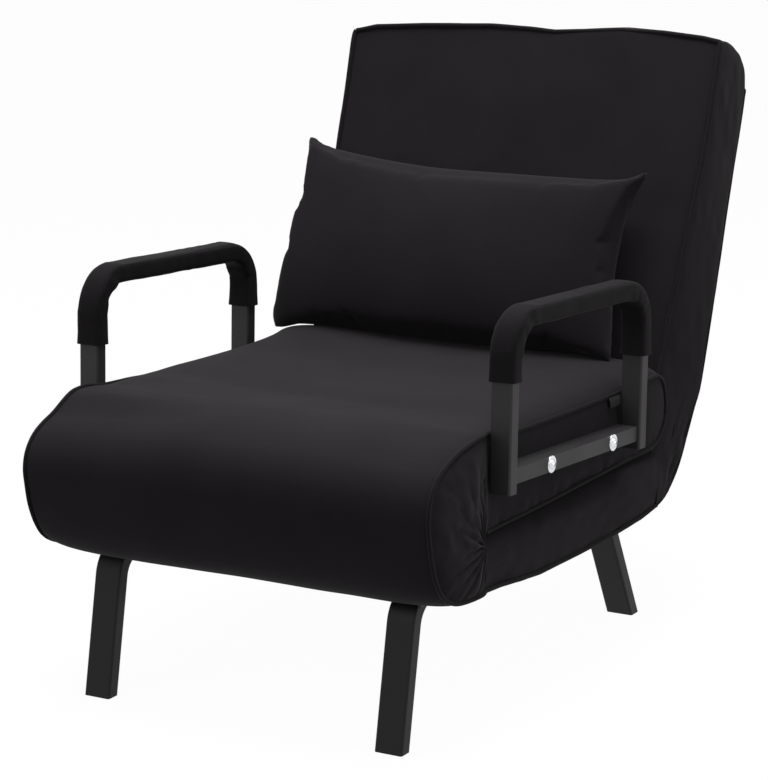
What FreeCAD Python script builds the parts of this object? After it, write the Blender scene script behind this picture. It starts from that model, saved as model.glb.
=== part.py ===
import FreeCAD, Part

import math
import os

from FreeCAD import Placement, Rotation, Vector

# Convertible chair bed: a three-part mattress on a tube frame. The seat section turns over forwards about the
# hinge in the front roll, until the arms that are bolted to it stand upside down on the floor. The backrest lies
# down about the crease behind the seat. Millimetres, +Z up, the front of the chair towards -Y, and the origin
# on the floor under the middle of the whole.

doc = FreeCAD.newDocument("chair_bed")
sheet = doc.addObject("Spreadsheet::Sheet", "Sizes")

# Driving sizes, each with what it measures
SIZES = [
    ("seat_side_gap", 8, "room between the seat cushion and the arms on each side"),
    ("roll_over", 3, "how far the front roll stands over the mattress's side"),
    ("roll_front", 456.5, "front of the roll, ahead of the origin"),
    ("roll_rear", 310, "rear of the roll, where the two layers part, ahead of the origin"),
    ("roll_top", 391, "top of the roll and of the seat's front edge above the floor"),
    ("roll_bottom", 189, "bottom of the roll above the floor"),
    ("roll_radius", 88, "rounding of the roll"),
    ("layer_gap_z", 260, "height of the gap between the two layers"),
    ("base_bottom", 176, "lowest line of the lower cushion"),
    ("seat_rear_top", 377, "height of the seat's rear edge"),
    ("seat_rear_round", 62, "rounding of the seat's free rear end"),
    ("seat_drop", 15, "how far the seat's crown stands over its side seams"),
    ("soft_gap", 0.4, "clearance between soft forms"),
    ("hinge_z", 275, "height of the fold hinge, so that the turned arms stand on the floor"),
    ("hinge_front", 385, "fold hinge ahead of the origin"),
    ("crease_rear", 171, "crease behind the seat, behind the origin"),
    ("recline_drop", 12, "recline pins below the crease"),
    ("back_lean", 20.2, "lean of the backrest from upright, degrees"),
    ("back_length", 576, "backrest from the crease to its head end"),
    ("back_thick", 108, "thickness of the backrest"),
    ("back_crown", 7, "crown of the backrest's faces"),
    ("back_round", 42, "rounding of the backrest's head end at the rear"),
    ("arm_tilt", 3.9, "tilt of the seat section, rear end lower, degrees"),
    ("arm_front", 300.5, "front face of the front posts at their lower end, ahead of the origin"),
    ("arm_low", 313, "lower end of the front posts above the floor"),
    ("arm_outer", 330, "outer face of the arms from the middle"),
    ("arm_tube_wide", 30, "arm tube across the chair"),
    ("arm_tube_deep", 20, "arm tube along the loop's plane"),
    ("arm_length", 380, "arm loop fore and aft, outside"),
    ("arm_height", 228, "arm loop from the post ends to the tube's top"),
    ("arm_bend", 50, "bend radius of the arm loop's middle line"),
    ("arm_wall", 1.5, "wall of the arm and frame tubes"),
    ("sleeve_thick", 3, "thickness of the padded arm sleeve"),
    ("sleeve_low", 140, "lower ends of the sleeve above the post ends"),
    ("bar_low", 11, "bar above the post ends"),
    ("bar_inset", 4, "bar's outer face inside the posts' outer face"),
    ("bolt_first", 115, "front arm bolt behind the front of the posts"),
    ("bolt_pitch", 172, "spacing of the two arm bolts"),
    ("bolt_dia", 8, "arm bolts"),
    ("bolt_head_dia", 13, "domed head of the arm bolts"),
    ("bolt_head_high", 5, "height of the bolt heads"),
    ("washer_dia", 22, "washers under the bolt heads"),
    ("washer_thick", 1.6, "thickness of the washers"),
    ("nut_flats", 13, "nuts across flats"),
    ("nut_high", 6.5, "height of the nuts"),
    ("spacer_dia", 16, "spacers between the arm bar and the seat frame"),
    ("leg_wide", 40, "leg tube across the chair"),
    ("leg_deep", 20, "leg tube in the plane of the loop"),
    ("leg_wall", 1.5, "wall of the leg tube"),
    ("leg_bend", 40, "bend radius of the leg loop's middle line"),
    ("front_foot", 427.5, "front face of the front feet, ahead of the origin"),
    ("front_lean", 12.4, "lean of the front legs, degrees"),
    ("rear_foot", 208.5, "front face of the rear feet, behind the origin"),
    ("rear_lean", 25, "lean of the rear legs, degrees"),
    ("rail_low", 178, "underside of the leg loops' level run"),
    ("plug_thick", 3, "end plugs"),
    ("cross_front", 345, "front cross tube, ahead of the origin"),
    ("cross_rear", 98, "rear cross tube, behind the origin"),
    ("slat_wide", 62, "width of the slats"),
    ("slat_thick", 8, "thickness of the slats"),
    ("slat_count", 5, "slats in each section"),
    ("frame_wide", 20, "frame tubes across"),
    ("frame_high", 30, "seat frame tubes, height"),
    ("frame_cover", 17, "depth of the seat frame inside the cushion's side"),
    ("frame_rear_gap", 31.5, "seat frame's rear end ahead of the crease"),
    ("seat_cross_front", 32, "seat frame's front cross tube behind the frame's front end"),
    ("back_frame_low", 30, "back frame's lower tube above the crease, along the backrest"),
    ("back_cross_low", 82, "back frame's lower cross tube above the crease, along the backrest"),
    ("back_frame_top", 540, "back frame's upper end above the crease, along the backrest"),
    ("back_frame_in", 44, "back frame's front face behind the backrest's front face"),
    ("back_frame_deep", 20, "back frame tubes, depth"),
    ("plate_thick", 5, "hinge plates"),
    ("plate_gap", 1, "gap between the two plates of a hinge"),
    ("boss_radius", 18, "eye of the fold hinge plates"),
    ("recline_boss", 11, "eye of the recline hinge plates"),
    ("pin_dia", 8, "hinge pins"),
    ("pin_gap", 0.05, "running clearance of a hinge pin"),
    ("pin_head_dia", 14, "heads of the hinge pins"),
    ("pin_head_thick", 3, "heads of the hinge pins, thickness"),
    ("slot_gap", 0.6, "clearance round metal in the soft forms"),
    ("pillow_width", 550, "pillow, across"),
    ("pillow_length", 296, "pillow, along the backrest"),
    ("pillow_thick", 112, "pillow, through its middle"),
    ("pillow_shift", 14, "pillow's middle left of the chair's middle"),
    ("pillow_up", 103, "pillow's lower seam above the crease, along the backrest"),
    ("label_wide", 34, "sewn label, along the seam"),
    ("label_high", 12, "sewn label, height"),
    ("label_thick", 0.8, "sewn label, thickness"),
    ("label_rear", 70, "sewn label behind the origin"),
]
for row, (alias, value, meaning) in enumerate(SIZES, start=1):
    sheet.set("A%d" % row, meaning)
    sheet.set("B%d" % row, str(value))
    sheet.setAlias("B%d" % row, alias)
doc.recompute()


# Widths and lengths that follow from the driving sizes, each with its formula
FOLLOWING = [
    ("mattress_half", "arm_outer - arm_tube_wide", "half the width of the mattress"),
    ("roll_half", "mattress_half + roll_over", "half the width of the front roll"),
    ("seat_half", "arm_outer - arm_tube_wide - seat_side_gap", "half the width of the seat cushion"),
    ("seat_frame_outer", "seat_half - frame_cover", "outer face of the seat and back frames from the middle"),
    ("leg_outer", "seat_frame_outer - frame_wide - 2 * plate_thick - plate_gap", "outer face of the leg loops"),
    ("seat_frame_length", "crease_rear + arm_front - frame_rear_gap", "length of the seat frame"),
]
follows = doc.addObject("App::VarSet", "Follows")


def spelled(formula):
    """A formula in which each bare word becomes a reference to the sheet, or to a size that follows from it."""
    words = []
    for word in formula.replace("(", "( ").replace(")", " )").split():
        if word in follows.PropertiesList:
            word = "Follows." + word
        elif word[0].isalpha():
            word = "Sizes." + word
        words.append(word)
    return " ".join(words)


for alias, formula, meaning in FOLLOWING:
    bound = spelled(formula)
    follows.addProperty("App::PropertyFloat", alias, "Sizes", meaning)
    follows.setExpression(alias, bound)
    doc.recompute()


def size(alias):
    if alias in follows.PropertiesList:
        return getattr(follows, alias)
    return float(sheet.get(alias))


# Lines and angles that follow from the driving sizes
crease_y = size("crease_rear")
crease_z = size("layer_gap_z")
lean = math.radians(size("back_lean"))
recline_y = crease_y + size("recline_drop") * (1 - math.sin(lean)) / math.cos(lean)
recline_z = crease_z - size("recline_drop")
roll_front_y = -size("roll_front")
roll_rear_y = -size("roll_rear")
seat_front_y = roll_rear_y + size("soft_gap")
hinge_y = -size("hinge_front")
hinge_z = size("hinge_z")
arm_y = -size("arm_front")
arm_z = size("arm_low")
frame_mid_w = size("bar_low") + size("arm_tube_deep") / 2
rail_top = size("rail_low") + size("leg_deep")
plate_inner_x = size("leg_outer") + size("plate_thick") + size("plate_gap")

# The seat section's own frame of axes tilts about the lower end of the front posts, and the backrest's leans
# about the crease, with its Z along the backrest and its Y towards the rear
SEAT = Placement(Vector(0, arm_y, arm_z), Rotation(Vector(1, 0, 0), -size("arm_tilt")))
BACK = Placement(Vector(0, crease_y, crease_z), Rotation(Vector(1, 0, 0), -size("back_lean")))

exported = []


def keep(obj, label):
    """Marks an object as a finished sub-part under the name of its file."""
    obj.Label = label
    exported.append(obj)
    return obj


def put(obj, **formulas):
    """Binds properties to the sheet: the words in a formula are names of sizes."""
    for name, formula in formulas.items():
        obj.setExpression(name.replace("_", "."), spelled(formula))
    return obj


def block(name, x, y, z, length, width, height):
    """A box whose corner and edges are bound to the sheet."""
    box = doc.addObject("Part::Box", name)
    put(box, Length=length, Width=width, Height=height)
    put(box, Placement_Base_x=x, Placement_Base_y=y, Placement_Base_z=z)
    return box


def cut(name, base, tools):
    """The base less the tools."""
    result = doc.addObject("Part::Cut", name)
    result.Base = base
    if len(tools) == 1:
        result.Tool = tools[0]
    else:
        result.Tool = fuse(name + "_tools", tools)
    return result


def fuse(name, parts):
    """The parts joined: pieces that don't touch stay separate solids of one node."""
    result = doc.addObject("Part::MultiFuse", name)
    result.Shapes = parts
    return result


def mirror(name, source):
    """The same piece on the other side of the chair."""
    result = doc.addObject("Part::Mirroring", name)
    result.Source = source
    result.Normal = Vector(1, 0, 0)
    return result


def group(name, parts):
    """Separate solids kept side by side in one node."""
    result = doc.addObject("Part::Compound", name)
    result.Links = parts
    return result


def corner(before, point, after, radius):
    """The two ends and the middle of the arc that rounds a corner."""
    one = (before - point).normalize()
    two = (after - point).normalize()
    half = one.getAngle(two) / 2
    reach = radius / math.tan(half)
    middle = point + (one + two).normalize() * (radius / math.sin(half) - radius)
    return point + one * reach, middle, point + two * reach


def rounded_edges(points, closed=True):
    """Lines and arcs through corner points (a, b, radius), as edges in the plane of a and b."""
    spots = [Vector(a, b, 0) for a, b, radius in points]
    radii = [radius for a, b, radius in points]
    count = len(spots)
    edges = []
    arcs = []
    for i in range(count):
        sharp = radii[i] <= 0 or (not closed and i in (0, count - 1))
        if sharp:
            arcs.append((spots[i], None, spots[i]))
        else:
            arcs.append(corner(spots[i - 1], spots[i], spots[(i + 1) % count], radii[i]))
    for i in range(count):
        start, middle, end = arcs[i]
        if middle is not None:
            edges.append(Part.Arc(start, middle, end))
        if closed or i < count - 1:
            follow = arcs[(i + 1) % count][0]
            if (follow - end).Length > 1e-6:
                edges.append(Part.LineSegment(end, follow))
    return edges


def plane_of(body, role):
    return next(feature for feature in body.Origin.OriginFeatures if feature.Role == role)


def sketch(body, name, role, offset, edges):
    """A sketch on one of the body's own planes, moved by an offset."""
    result = body.newObject("Sketcher::SketchObject", name)
    result.AttachmentSupport = [(plane_of(body, role), "")]
    result.MapMode = "FlatFace"
    result.AttachmentOffset = offset
    for edge in edges:
        result.addGeometry(edge)
    return result


def side_offset(x):
    """Moves a sketch on the YZ plane out to one side."""
    return Placement(Vector(0, 0, x), Rotation())


def box_section(wide, deep, middle, radius):
    """A rounded rectangle round the point (middle, 0)."""
    left = middle - wide / 2
    right = middle + wide / 2
    corners = [(left, -deep / 2), (right, -deep / 2), (right, deep / 2), (left, deep / 2)]
    return rounded_edges([(a, b, radius) for a, b in corners])


def bent_tube(name, route, middle_x, wide, deep, wall, start, round_out):
    """A hollow tube along a route in a side plane: a rounded pipe outside and a plain one inside."""
    body = doc.addObject("PartDesign::Body", name)
    spine = sketch(body, name + "_route", "YZ_Plane", side_offset(middle_x), rounded_edges(route, closed=False))
    outside = sketch(body, name + "_outside", "XY_Plane", start, box_section(wide, deep, middle_x, round_out))
    inside = sketch(body, name + "_inside", "XY_Plane", start,
                    box_section(wide - 2 * wall, deep - 2 * wall, middle_x, 0))
    doc.recompute()
    edges = ["Edge%d" % (i + 1) for i in range(len(spine.Shape.Edges))]
    solid = body.newObject("PartDesign::AdditivePipe", name + "_solid")
    solid.Profile = outside
    solid.Spine = (spine, edges)
    doc.recompute()
    hollow = body.newObject("PartDesign::SubtractivePipe", name + "_hollow")
    hollow.Profile = inside
    hollow.Spine = (spine, edges)
    doc.recompute()
    return body


def plate(name, outline, x, thickness, holes):
    """A flat plate in a side plane, with round holes (y, z, radius)."""
    body = doc.addObject("PartDesign::Body", name)
    face = sketch(body, name + "_outline", "YZ_Plane", side_offset(x), rounded_edges(outline))
    for y, z, radius in holes:
        face.addGeometry(Part.Circle(Vector(y, z, 0), Vector(0, 0, 1), radius))
    doc.recompute()
    pad = body.newObject("PartDesign::Pad", name + "_pad")
    pad.Profile = face
    put(pad, Length=thickness)
    return body


def rod(name, x, y, z, radius, length):
    """A round rod across the chair, starting at x."""
    result = doc.addObject("Part::Cylinder", name)
    put(result, Radius=radius, Height=length)
    result.Placement = Placement(Vector(x, y, z), Rotation(Vector(0, 1, 0), 90))
    return result


def soft_form(name, outlines):
    """A soft form: side outlines at several places across, joined by a loft."""
    sections = []
    for number, (x, points) in enumerate(outlines):
        wire = Part.Wire([edge.toShape() for edge in rounded_edges(points)])
        outline = doc.addObject("Part::Feature", "%s_outline_%d" % (name, number))
        turned = wire.copy()
        turned.Placement = Placement(Vector(x, 0, 0), Rotation(Vector(1, 1, 1), 120))
        outline.Shape = turned
        sections.append(outline)
    loft = doc.addObject("Part::Loft", name + "_form")
    loft.Sections = sections
    loft.Solid = True
    loft.Ruled = True
    return loft


def crown(share):
    """How much of the crown is left at a share of the half width: full in the middle, none at the seam."""
    return (1 - abs(share) ** 6) ** 0.5


CROWN_SHARES = (-1, -0.985, -0.94, -0.82, -0.55, 0, 0.55, 0.82, 0.94, 0.985, 1)


# Leg loops: front leg, level run under the seat and rear leg, bent from one tube and cut level at the floor
def leg_route():
    below = 12.0
    front_lean = math.radians(size("front_lean"))
    rear_lean = math.radians(size("rear_lean"))
    run_z = size("rail_low") + size("leg_deep") / 2
    front_y = -size("front_foot") + size("leg_deep") / 2 / math.cos(front_lean)
    rear_y = size("rear_foot") + size("leg_deep") / 2 / math.cos(rear_lean)
    return [
        (front_y - below * math.tan(front_lean), -below, 0),
        (front_y + run_z * math.tan(front_lean), run_z, size("leg_bend")),
        (rear_y - run_z * math.tan(rear_lean), run_z, size("leg_bend")),
        (rear_y + below * math.tan(rear_lean), -below, 0),
    ]


leg_mid_x = size("leg_outer") - size("leg_wide") / 2
leg_start = Placement(Vector(0, leg_route()[0][0], leg_route()[0][1]),
                      Rotation(Vector(1, 0, 0), -size("front_lean")))
leg = bent_tube("leg_loop", leg_route(), leg_mid_x, size("leg_wide"), size("leg_deep"), size("leg_wall"),
                leg_start, 3)
floor_cut = leg.newObject("PartDesign::SubtractiveBox", "leg_floor_cut")
floor_cut.Length = 2 * size("leg_wide")
floor_cut.Width = 2 * (size("front_foot") + size("rear_foot"))
floor_cut.Height = 60
floor_cut.Placement = Placement(Vector(leg_mid_x - size("leg_wide"), -floor_cut.Width.Value / 2, -60), Rotation())
keep(leg, "leg_loop_right")
keep(mirror("leg_loop_other", leg), "leg_loop_left")


# Plugs close the tube ends at the floor
def foot_plug(name, side, foot_y, lean_angle):
    """A plug that fills the leg tube's mouth, flush with the floor."""
    slope = math.tan(lean_angle)
    depth = (size("leg_deep") - 2 * size("leg_wall")) / math.cos(lean_angle) - 0.1
    width = size("leg_wide") - 2 * size("leg_wall") - 0.1
    thick = size("plug_thick")
    middle = foot_y
    outline = [(middle - depth / 2, 0), (middle + depth / 2, 0),
               (middle + depth / 2 + thick * slope, thick), (middle - depth / 2 + thick * slope, thick)]
    points = [Vector(side * leg_mid_x - width / 2, y, z) for y, z in outline]
    plug = doc.addObject("Part::Feature", name)
    plug.Shape = Part.Face(Part.makePolygon(points + points[:1])).extrude(Vector(width, 0, 0))
    return plug


front_angle = math.radians(size("front_lean"))
rear_angle = math.radians(size("rear_lean"))
front_mid = -size("front_foot") + size("leg_deep") / 2 / math.cos(front_angle)
rear_mid = size("rear_foot") + size("leg_deep") / 2 / math.cos(rear_angle)
plugs = []
for side, word in ((1, "right"), (-1, "left")):
    plugs.append(foot_plug("front_plug_" + word, side, front_mid, front_angle))
    plugs.append(foot_plug("rear_plug_" + word, side, rear_mid, -rear_angle))
keep(group("foot_plug_set", plugs), "foot_plugs")


# Cross tubes are welded between the leg loops
def cross_tube(label, y):
    outer = block(label + "_outer", "leg_wide - leg_outer", y, "rail_low",
                  "2 * ( leg_outer - leg_wide )", "frame_wide", "leg_deep")
    inner = block(label + "_inner", "leg_wide - leg_outer", y + " + arm_wall", "rail_low + arm_wall",
                  "2 * ( leg_outer - leg_wide )", "frame_wide - 2 * arm_wall", "leg_deep - 2 * arm_wall")
    keep(cut(label + "_tube", outer, [inner]), label)


cross_tube("front_crossbar", "0 - cross_front")
cross_tube("middle_crossbar", "( cross_rear - cross_front ) / 2")
cross_tube("rear_crossbar", "cross_rear")

# Base slats lie across the two leg loops
slats = []
for number in range(int(size("slat_count"))):
    step = "%d * ( cross_front + cross_rear + frame_wide - slat_wide ) / ( slat_count - 1 )" % number
    slats.append(block("base_slat_%d" % number, "0 - leg_outer", step + " - cross_front", "rail_low + leg_deep",
                       "2 * leg_outer", "slat_wide", "slat_thick"))
keep(group("base_slat_set", slats), "base_slats")


# Lower cushion: the middle of the mattress, a hood over the base frame with side bands down to its underside
def lower_outline(share):
    drawn = 5 * (1 - crown(share))
    top = crease_z - 6 * (1 - crown(share))
    low = size("base_bottom")
    return [
        (seat_front_y + drawn * 0.2, low + 13 + drawn, 2),
        (-130, low + 4 + drawn, 200),
        (60, low + drawn, 200),
        (crease_y - 0.4, low + 4 + drawn, 2),
        (crease_y - 0.4, top, 4),
        (seat_front_y + drawn * 0.2, top, 4),
    ]


lower = soft_form("lower_cushion", [(share * size("mattress_half"), lower_outline(share)) for share in CROWN_SHARES])
under = block("under_pocket", "0 - leg_outer - 12", "0 - roll_rear - 20", "base_bottom - 20",
              "2 * leg_outer + 24", "roll_rear + crease_rear + 40", "rail_low + leg_deep + slat_thick - base_bottom + 20.4")
slots = [under]
for side, word in ((1, "right"), (-1, "left")):
    slot = doc.addObject("Part::Box", "recline_slot_" + word)
    slot.Length = 2 * size("plate_thick") + size("plate_gap") + 2 * size("pin_head_thick") + 2 * size("slot_gap")
    slot.Width = 150
    slot.Height = crease_z
    left = size("leg_outer") - size("pin_head_thick") - size("slot_gap")
    slot.Placement = Placement(Vector(left if side > 0 else -left - slot.Length.Value, 40, rail_top - 10), Rotation())
    slots.append(slot)
keep(cut("lower_cushion_hood", lower, slots), "lower_cushion")


# Front roll: the bend of the mattress between the two layers
def roll_outline(share):
    drawn = 9 * (1 - crown(share))
    radius = size("roll_radius") - drawn * 0.4
    return [
        (roll_rear_y, size("roll_bottom") + drawn, 1),
        (roll_front_y + drawn, size("roll_bottom") + drawn, radius),
        (roll_front_y + drawn, size("roll_top") - drawn, radius),
        (roll_rear_y, size("roll_top") - drawn, 1),
    ]


roll = soft_form("front_roll", [(share * size("roll_half"), roll_outline(share)) for share in CROWN_SHARES])
hinge_slots = []
slot_low = size("leg_outer") - size("pin_head_thick") - size("slot_gap")
slot_wide = 2 * size("plate_thick") + size("plate_gap") + 2 * size("pin_head_thick") + 2 * size("slot_gap")
for side, word in ((1, "right"), (-1, "left")):
    slot = doc.addObject("Part::Box", "fold_slot_" + word)
    slot.Length = slot_wide
    slot.Width = roll_rear_y - hinge_y + size("boss_radius") + 12
    slot.Height = size("arm_low") + 36 - size("roll_bottom") + 20
    slot.Placement = Placement(Vector(slot_low if side > 0 else -slot_low - slot_wide,
                                      hinge_y - size("boss_radius") - 2, size("roll_bottom") - 20), Rotation())
    hinge_slots.append(slot)
leg_room = block("roll_leg_room", "0 - leg_outer - 8", "0 - roll_rear - 95", "roll_bottom - 30",
                 "2 * leg_outer + 16", "110", "rail_low + leg_deep + slat_thick - roll_bottom + 31")
keep(cut("front_roll_form", roll, hinge_slots + [leg_room]), "front_roll")


# Bend behind the seat: the wedge of the mattress between the lower cushion and the backrest's lower end
def bend_outline(share):
    drawn = 5 * (1 - crown(share))
    depth = crease_z - size("base_bottom") - 4 - drawn
    thick = size("back_thick") - drawn
    end_y = crease_y + thick * math.cos(lean)
    end_z = crease_z - thick * math.sin(lean)
    outer_y = crease_y + thick * 0.62
    return [
        (crease_y + 0.3, crease_z - 1.2, 0),
        (crease_y + 0.3, crease_z - depth, 1),
        (outer_y, crease_z - depth + 8, 40),
        (end_y - 0.3 * math.sin(lean), end_z - 0.5, 0),
    ]


bend = soft_form("rear_bend", [(share * size("mattress_half"), bend_outline(share)) for share in CROWN_SHARES])
bend_slots = []
for side, word in ((1, "right"), (-1, "left")):
    slot = doc.addObject("Part::Box", "bend_slot_" + word)
    slot.Length = slot_wide
    slot.Width = 110
    slot.Height = 70
    slot.Placement = Placement(Vector(slot_low if side > 0 else -slot_low - slot_wide, crease_y - 30, crease_z - 34),
                               Rotation())
    bend_slots.append(slot)
keep(cut("rear_bend_form", bend, bend_slots), "rear_bend")


# Fold hinge: a bracket on each leg loop rises to the pin, and an arm on the seat frame turns round it
def seat_point(y, z):
    """A point of the chair in the seat section's own axes."""
    spot = SEAT.inverse().multVec(Vector(0, y, z))
    return spot.y, spot.z


def eye(centre, radius, towards):
    """Two corners that wrap a hinge eye and leave it open towards a point."""
    spot = Vector(centre[0], centre[1], 0)
    way = (Vector(towards[0], towards[1], 0) - spot).normalize()
    across = Vector(-way.y, way.x, 0)
    far = spot - way * radius
    one = far + across * radius
    two = far - across * radius
    return (one.x, one.y, radius * 0.98), (two.x, two.y, radius * 0.98)


bracket_foot = (hinge_y + 24, rail_top - 6)
one, two = eye((hinge_y, hinge_z), size("boss_radius"), bracket_foot)
fold_bracket = plate("fold_bracket", [(hinge_y + 4, rail_top - 18, 3), (hinge_y + 54, rail_top - 18, 3),
                                      (hinge_y + 54, rail_top + 4, 8), (hinge_y + 30, hinge_z - 40, 20), one, two],
                     size("leg_outer"), "plate_thick", [(hinge_y, hinge_z, size("pin_dia") / 2 + size("pin_gap"))])
keep(fold_bracket, "fold_bracket_right")
keep(mirror("fold_bracket_other", fold_bracket), "fold_bracket_left")

hinge_u, hinge_w = seat_point(hinge_y, hinge_z)
rail_low_w = frame_mid_w - size("frame_high") / 2
rail_top_w = frame_mid_w + size("frame_high") / 2
one, two = eye((hinge_u, hinge_w), size("boss_radius"), (10, rail_low_w + 8))
arm_reach = size("seat_cross_front") - size("slot_gap")
fold_arm = plate("fold_arm", [one, two, (arm_reach, rail_low_w - 14, 6), (arm_reach, rail_top_w - 1, 3),
                              (-10, rail_top_w - 1, 12)],
                 plate_inner_x, "plate_thick", [(hinge_u, hinge_w, size("pin_dia") / 2 + size("pin_gap"))])
fold_arm.Placement = SEAT
keep(fold_arm, "fold_arm_right")
keep(mirror("fold_arm_other", fold_arm), "fold_arm_left")


# Hinge pins: a shaft through the two plates with a flat head at each end
def pin_set(label, y, z):
    parts = []
    length = 2 * size("plate_thick") + size("plate_gap")
    start = size("leg_outer")
    for side, word in ((1, "right"), (-1, "left")):
        left = start if side > 0 else -start - length
        shaft = rod(label + "_shaft_" + word, left - 0.2, y, z, "pin_dia / 2", "2 * plate_thick + plate_gap + 0.4")
        inner = rod(label + "_head_a_" + word, left - size("pin_head_thick") - 0.1, y, z,
                    "pin_head_dia / 2", "pin_head_thick")
        outer = rod(label + "_head_b_" + word, left + length + 0.1, y, z, "pin_head_dia / 2", "pin_head_thick")
        parts.append(fuse(label + "_" + word, [shaft, inner, outer]))
    keep(group(label + "_set", parts), label)


pin_set("fold_pins", hinge_y, hinge_z)
pin_set("recline_pins", recline_y, recline_z)


# Seat frame: a welded rectangle of tube inside the seat cushion, with slats across its top
def frame_tube(name, x, y, z, length, width, height, hollow_along):
    """A straight tube, hollow along one of its edges."""
    outer = block(name + "_outer", x, y, z, length, width, height)
    insets = {
        "length": (x, y + " + arm_wall", z + " + arm_wall",
                   length, width + " - 2 * arm_wall", height + " - 2 * arm_wall"),
        "width": (x + " + arm_wall", y, z + " + arm_wall",
                  length + " - 2 * arm_wall", width, height + " - 2 * arm_wall"),
        "height": (x + " + arm_wall", y + " + arm_wall", z,
                   length + " - 2 * arm_wall", width + " - 2 * arm_wall", height),
    }
    return cut(name, outer, [block(name + "_inner", *insets[hollow_along])])


frame_w = "bar_low + arm_tube_deep / 2 - frame_high / 2"
tubes = []
for side in (1, -1):
    x = "seat_frame_outer - frame_wide" if side > 0 else "0 - seat_frame_outer"
    tubes.append(frame_tube("seat_rail_%s" % ("right" if side > 0 else "left"), x, "0", frame_w,
                            "frame_wide", "seat_frame_length", "frame_high", "width"))
for word, y in (("front", "seat_cross_front"), ("rear", "seat_frame_length - frame_wide")):
    tubes.append(frame_tube("seat_cross_" + word, "frame_wide - seat_frame_outer", y, frame_w,
                            "2 * ( seat_frame_outer - frame_wide )", "frame_wide", "frame_high", "length"))
foot_frame = fuse("foot_frame_weld", tubes)
bolt_holes = []
for side, word in ((1, "right"), (-1, "left")):
    for number in range(2):
        u = size("bolt_first") + number * size("bolt_pitch")
        left = size("seat_frame_outer") - size("frame_wide") - 1
        x = left if side > 0 else -left - size("frame_wide") - 2
        bolt_holes.append(rod("frame_hole_%s_%d" % (word, number), x, u, frame_mid_w, "bolt_dia / 2 + pin_gap",
                              "frame_wide + 2"))
foot_frame = cut("foot_frame_drilled", foot_frame, bolt_holes)
foot_frame.Placement = SEAT
keep(foot_frame, "foot_frame")

slats = []
for number in range(int(size("slat_count"))):
    step = "%d * ( seat_frame_length - slat_wide ) / ( slat_count - 1 )" % number
    slats.append(block("foot_slat_%d" % number, "0 - seat_frame_outer", step,
                       "bar_low + arm_tube_deep / 2 + frame_high / 2", "2 * seat_frame_outer", "slat_wide",
                       "slat_thick"))
foot_slats = group("foot_slat_set", slats)
foot_slats.Placement = SEAT
keep(foot_slats, "foot_slats")


# Seat cushion: the upper layer, crowned on top, drawn in at the sides and rounded at its free rear end
def seat_outline(share):
    left = crown(share)
    drop = size("seat_drop") * (1 - left)
    drawn = 6 * (1 - left)
    rear_y = crease_y + 48 * math.tan(lean) - size("back_crown") - 1.5 - drawn
    return [
        (seat_front_y, crease_z + 0.4 + drawn * 0.3, 1),
        (rear_y, crease_z + 0.4 + drawn * 0.3, 36),
        (rear_y, size("seat_rear_top") - drop * 0.6, size("seat_rear_round")),
        (40, size("seat_rear_top") + 1 - drop, 400),
        (seat_front_y, size("roll_top") - drop * 0.6, 1),
    ]


seat = soft_form("seat_cushion", [(share * size("seat_half"), seat_outline(share)) for share in CROWN_SHARES])
channel_tools = []
gap = size("slot_gap")
rail_in = size("seat_frame_outer") - size("frame_wide")


def room(name, axes, low, high):
    """A box-shaped room in a soft form, from its low to its high corner in the given axes."""
    result = doc.addObject("Part::Box", name)
    result.Length = high[0] - low[0]
    result.Width = high[1] - low[1]
    result.Height = high[2] - low[2]
    result.Placement = axes * Placement(Vector(*low), Rotation())
    return result


for side, word in ((1, "right"), (-1, "left")):
    left = rail_in - gap if side > 0 else -size("seat_frame_outer") - gap
    channel_tools.append(room("seat_rail_room_" + word, SEAT, (left, -20, rail_low_w - gap),
                              (left + size("frame_wide") + 2 * gap, size("seat_frame_length") + gap,
                               rail_top_w + gap)))
for word, y in (("front", size("seat_cross_front")), ("rear", size("seat_frame_length") - size("frame_wide"))):
    channel_tools.append(room("seat_cross_room_" + word, SEAT, (-rail_in, y - gap, rail_low_w - gap),
                              (rail_in, y + size("frame_wide") + gap, rail_top_w + gap)))
slat_room = doc.addObject("Part::Box", "seat_slat_room")
slat_room.Length = 2 * (size("seat_frame_outer") + gap)
slat_room.Width = size("seat_frame_length") + 20 + gap
slat_room.Height = size("slat_thick") + gap
slat_room.Placement = SEAT * Placement(Vector(-size("seat_frame_outer") - gap, -20, rail_top_w), Rotation())
channel_tools.append(slat_room)
for side, word in ((1, "right"), (-1, "left")):
    left = slot_low if side > 0 else -slot_low - slot_wide
    channel_tools.append(room("seat_arm_room_" + word, Placement(), (left, seat_front_y - 20, crease_z + 4),
                              (left + slot_wide, seat_front_y + size("seat_cross_front") + 12, crease_z + 90)))
    for number in range(2):
        u = size("bolt_first") + number * size("bolt_pitch")
        x = size("seat_frame_outer") - 1 if side > 0 else -size("seat_half") - 4
        hole = doc.addObject("Part::Cylinder", "seat_bolt_hole_%s_%d" % (word, number))
        hole.Radius = size("spacer_dia") / 2 + 0.3
        hole.Height = size("seat_half") - size("seat_frame_outer") + 5
        hole.Placement = SEAT * Placement(Vector(x, u, frame_mid_w), Rotation(Vector(0, 1, 0), 90))
        channel_tools.append(hole)
        nut_room = doc.addObject("Part::Cylinder", "seat_nut_room_%s_%d" % (word, number))
        nut_room.Radius = size("nut_flats") * 0.62
        nut_room.Height = size("nut_high") + 8
        x = size("seat_frame_outer") - size("frame_wide")
        x = x - size("nut_high") - 7 if side > 0 else -x - 1
        nut_room.Placement = SEAT * Placement(Vector(x, u, frame_mid_w), Rotation(Vector(0, 1, 0), 90))
        channel_tools.append(nut_room)
keep(cut("seat_cushion_hollowed", seat, channel_tools), "seat_cushion")

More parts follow.
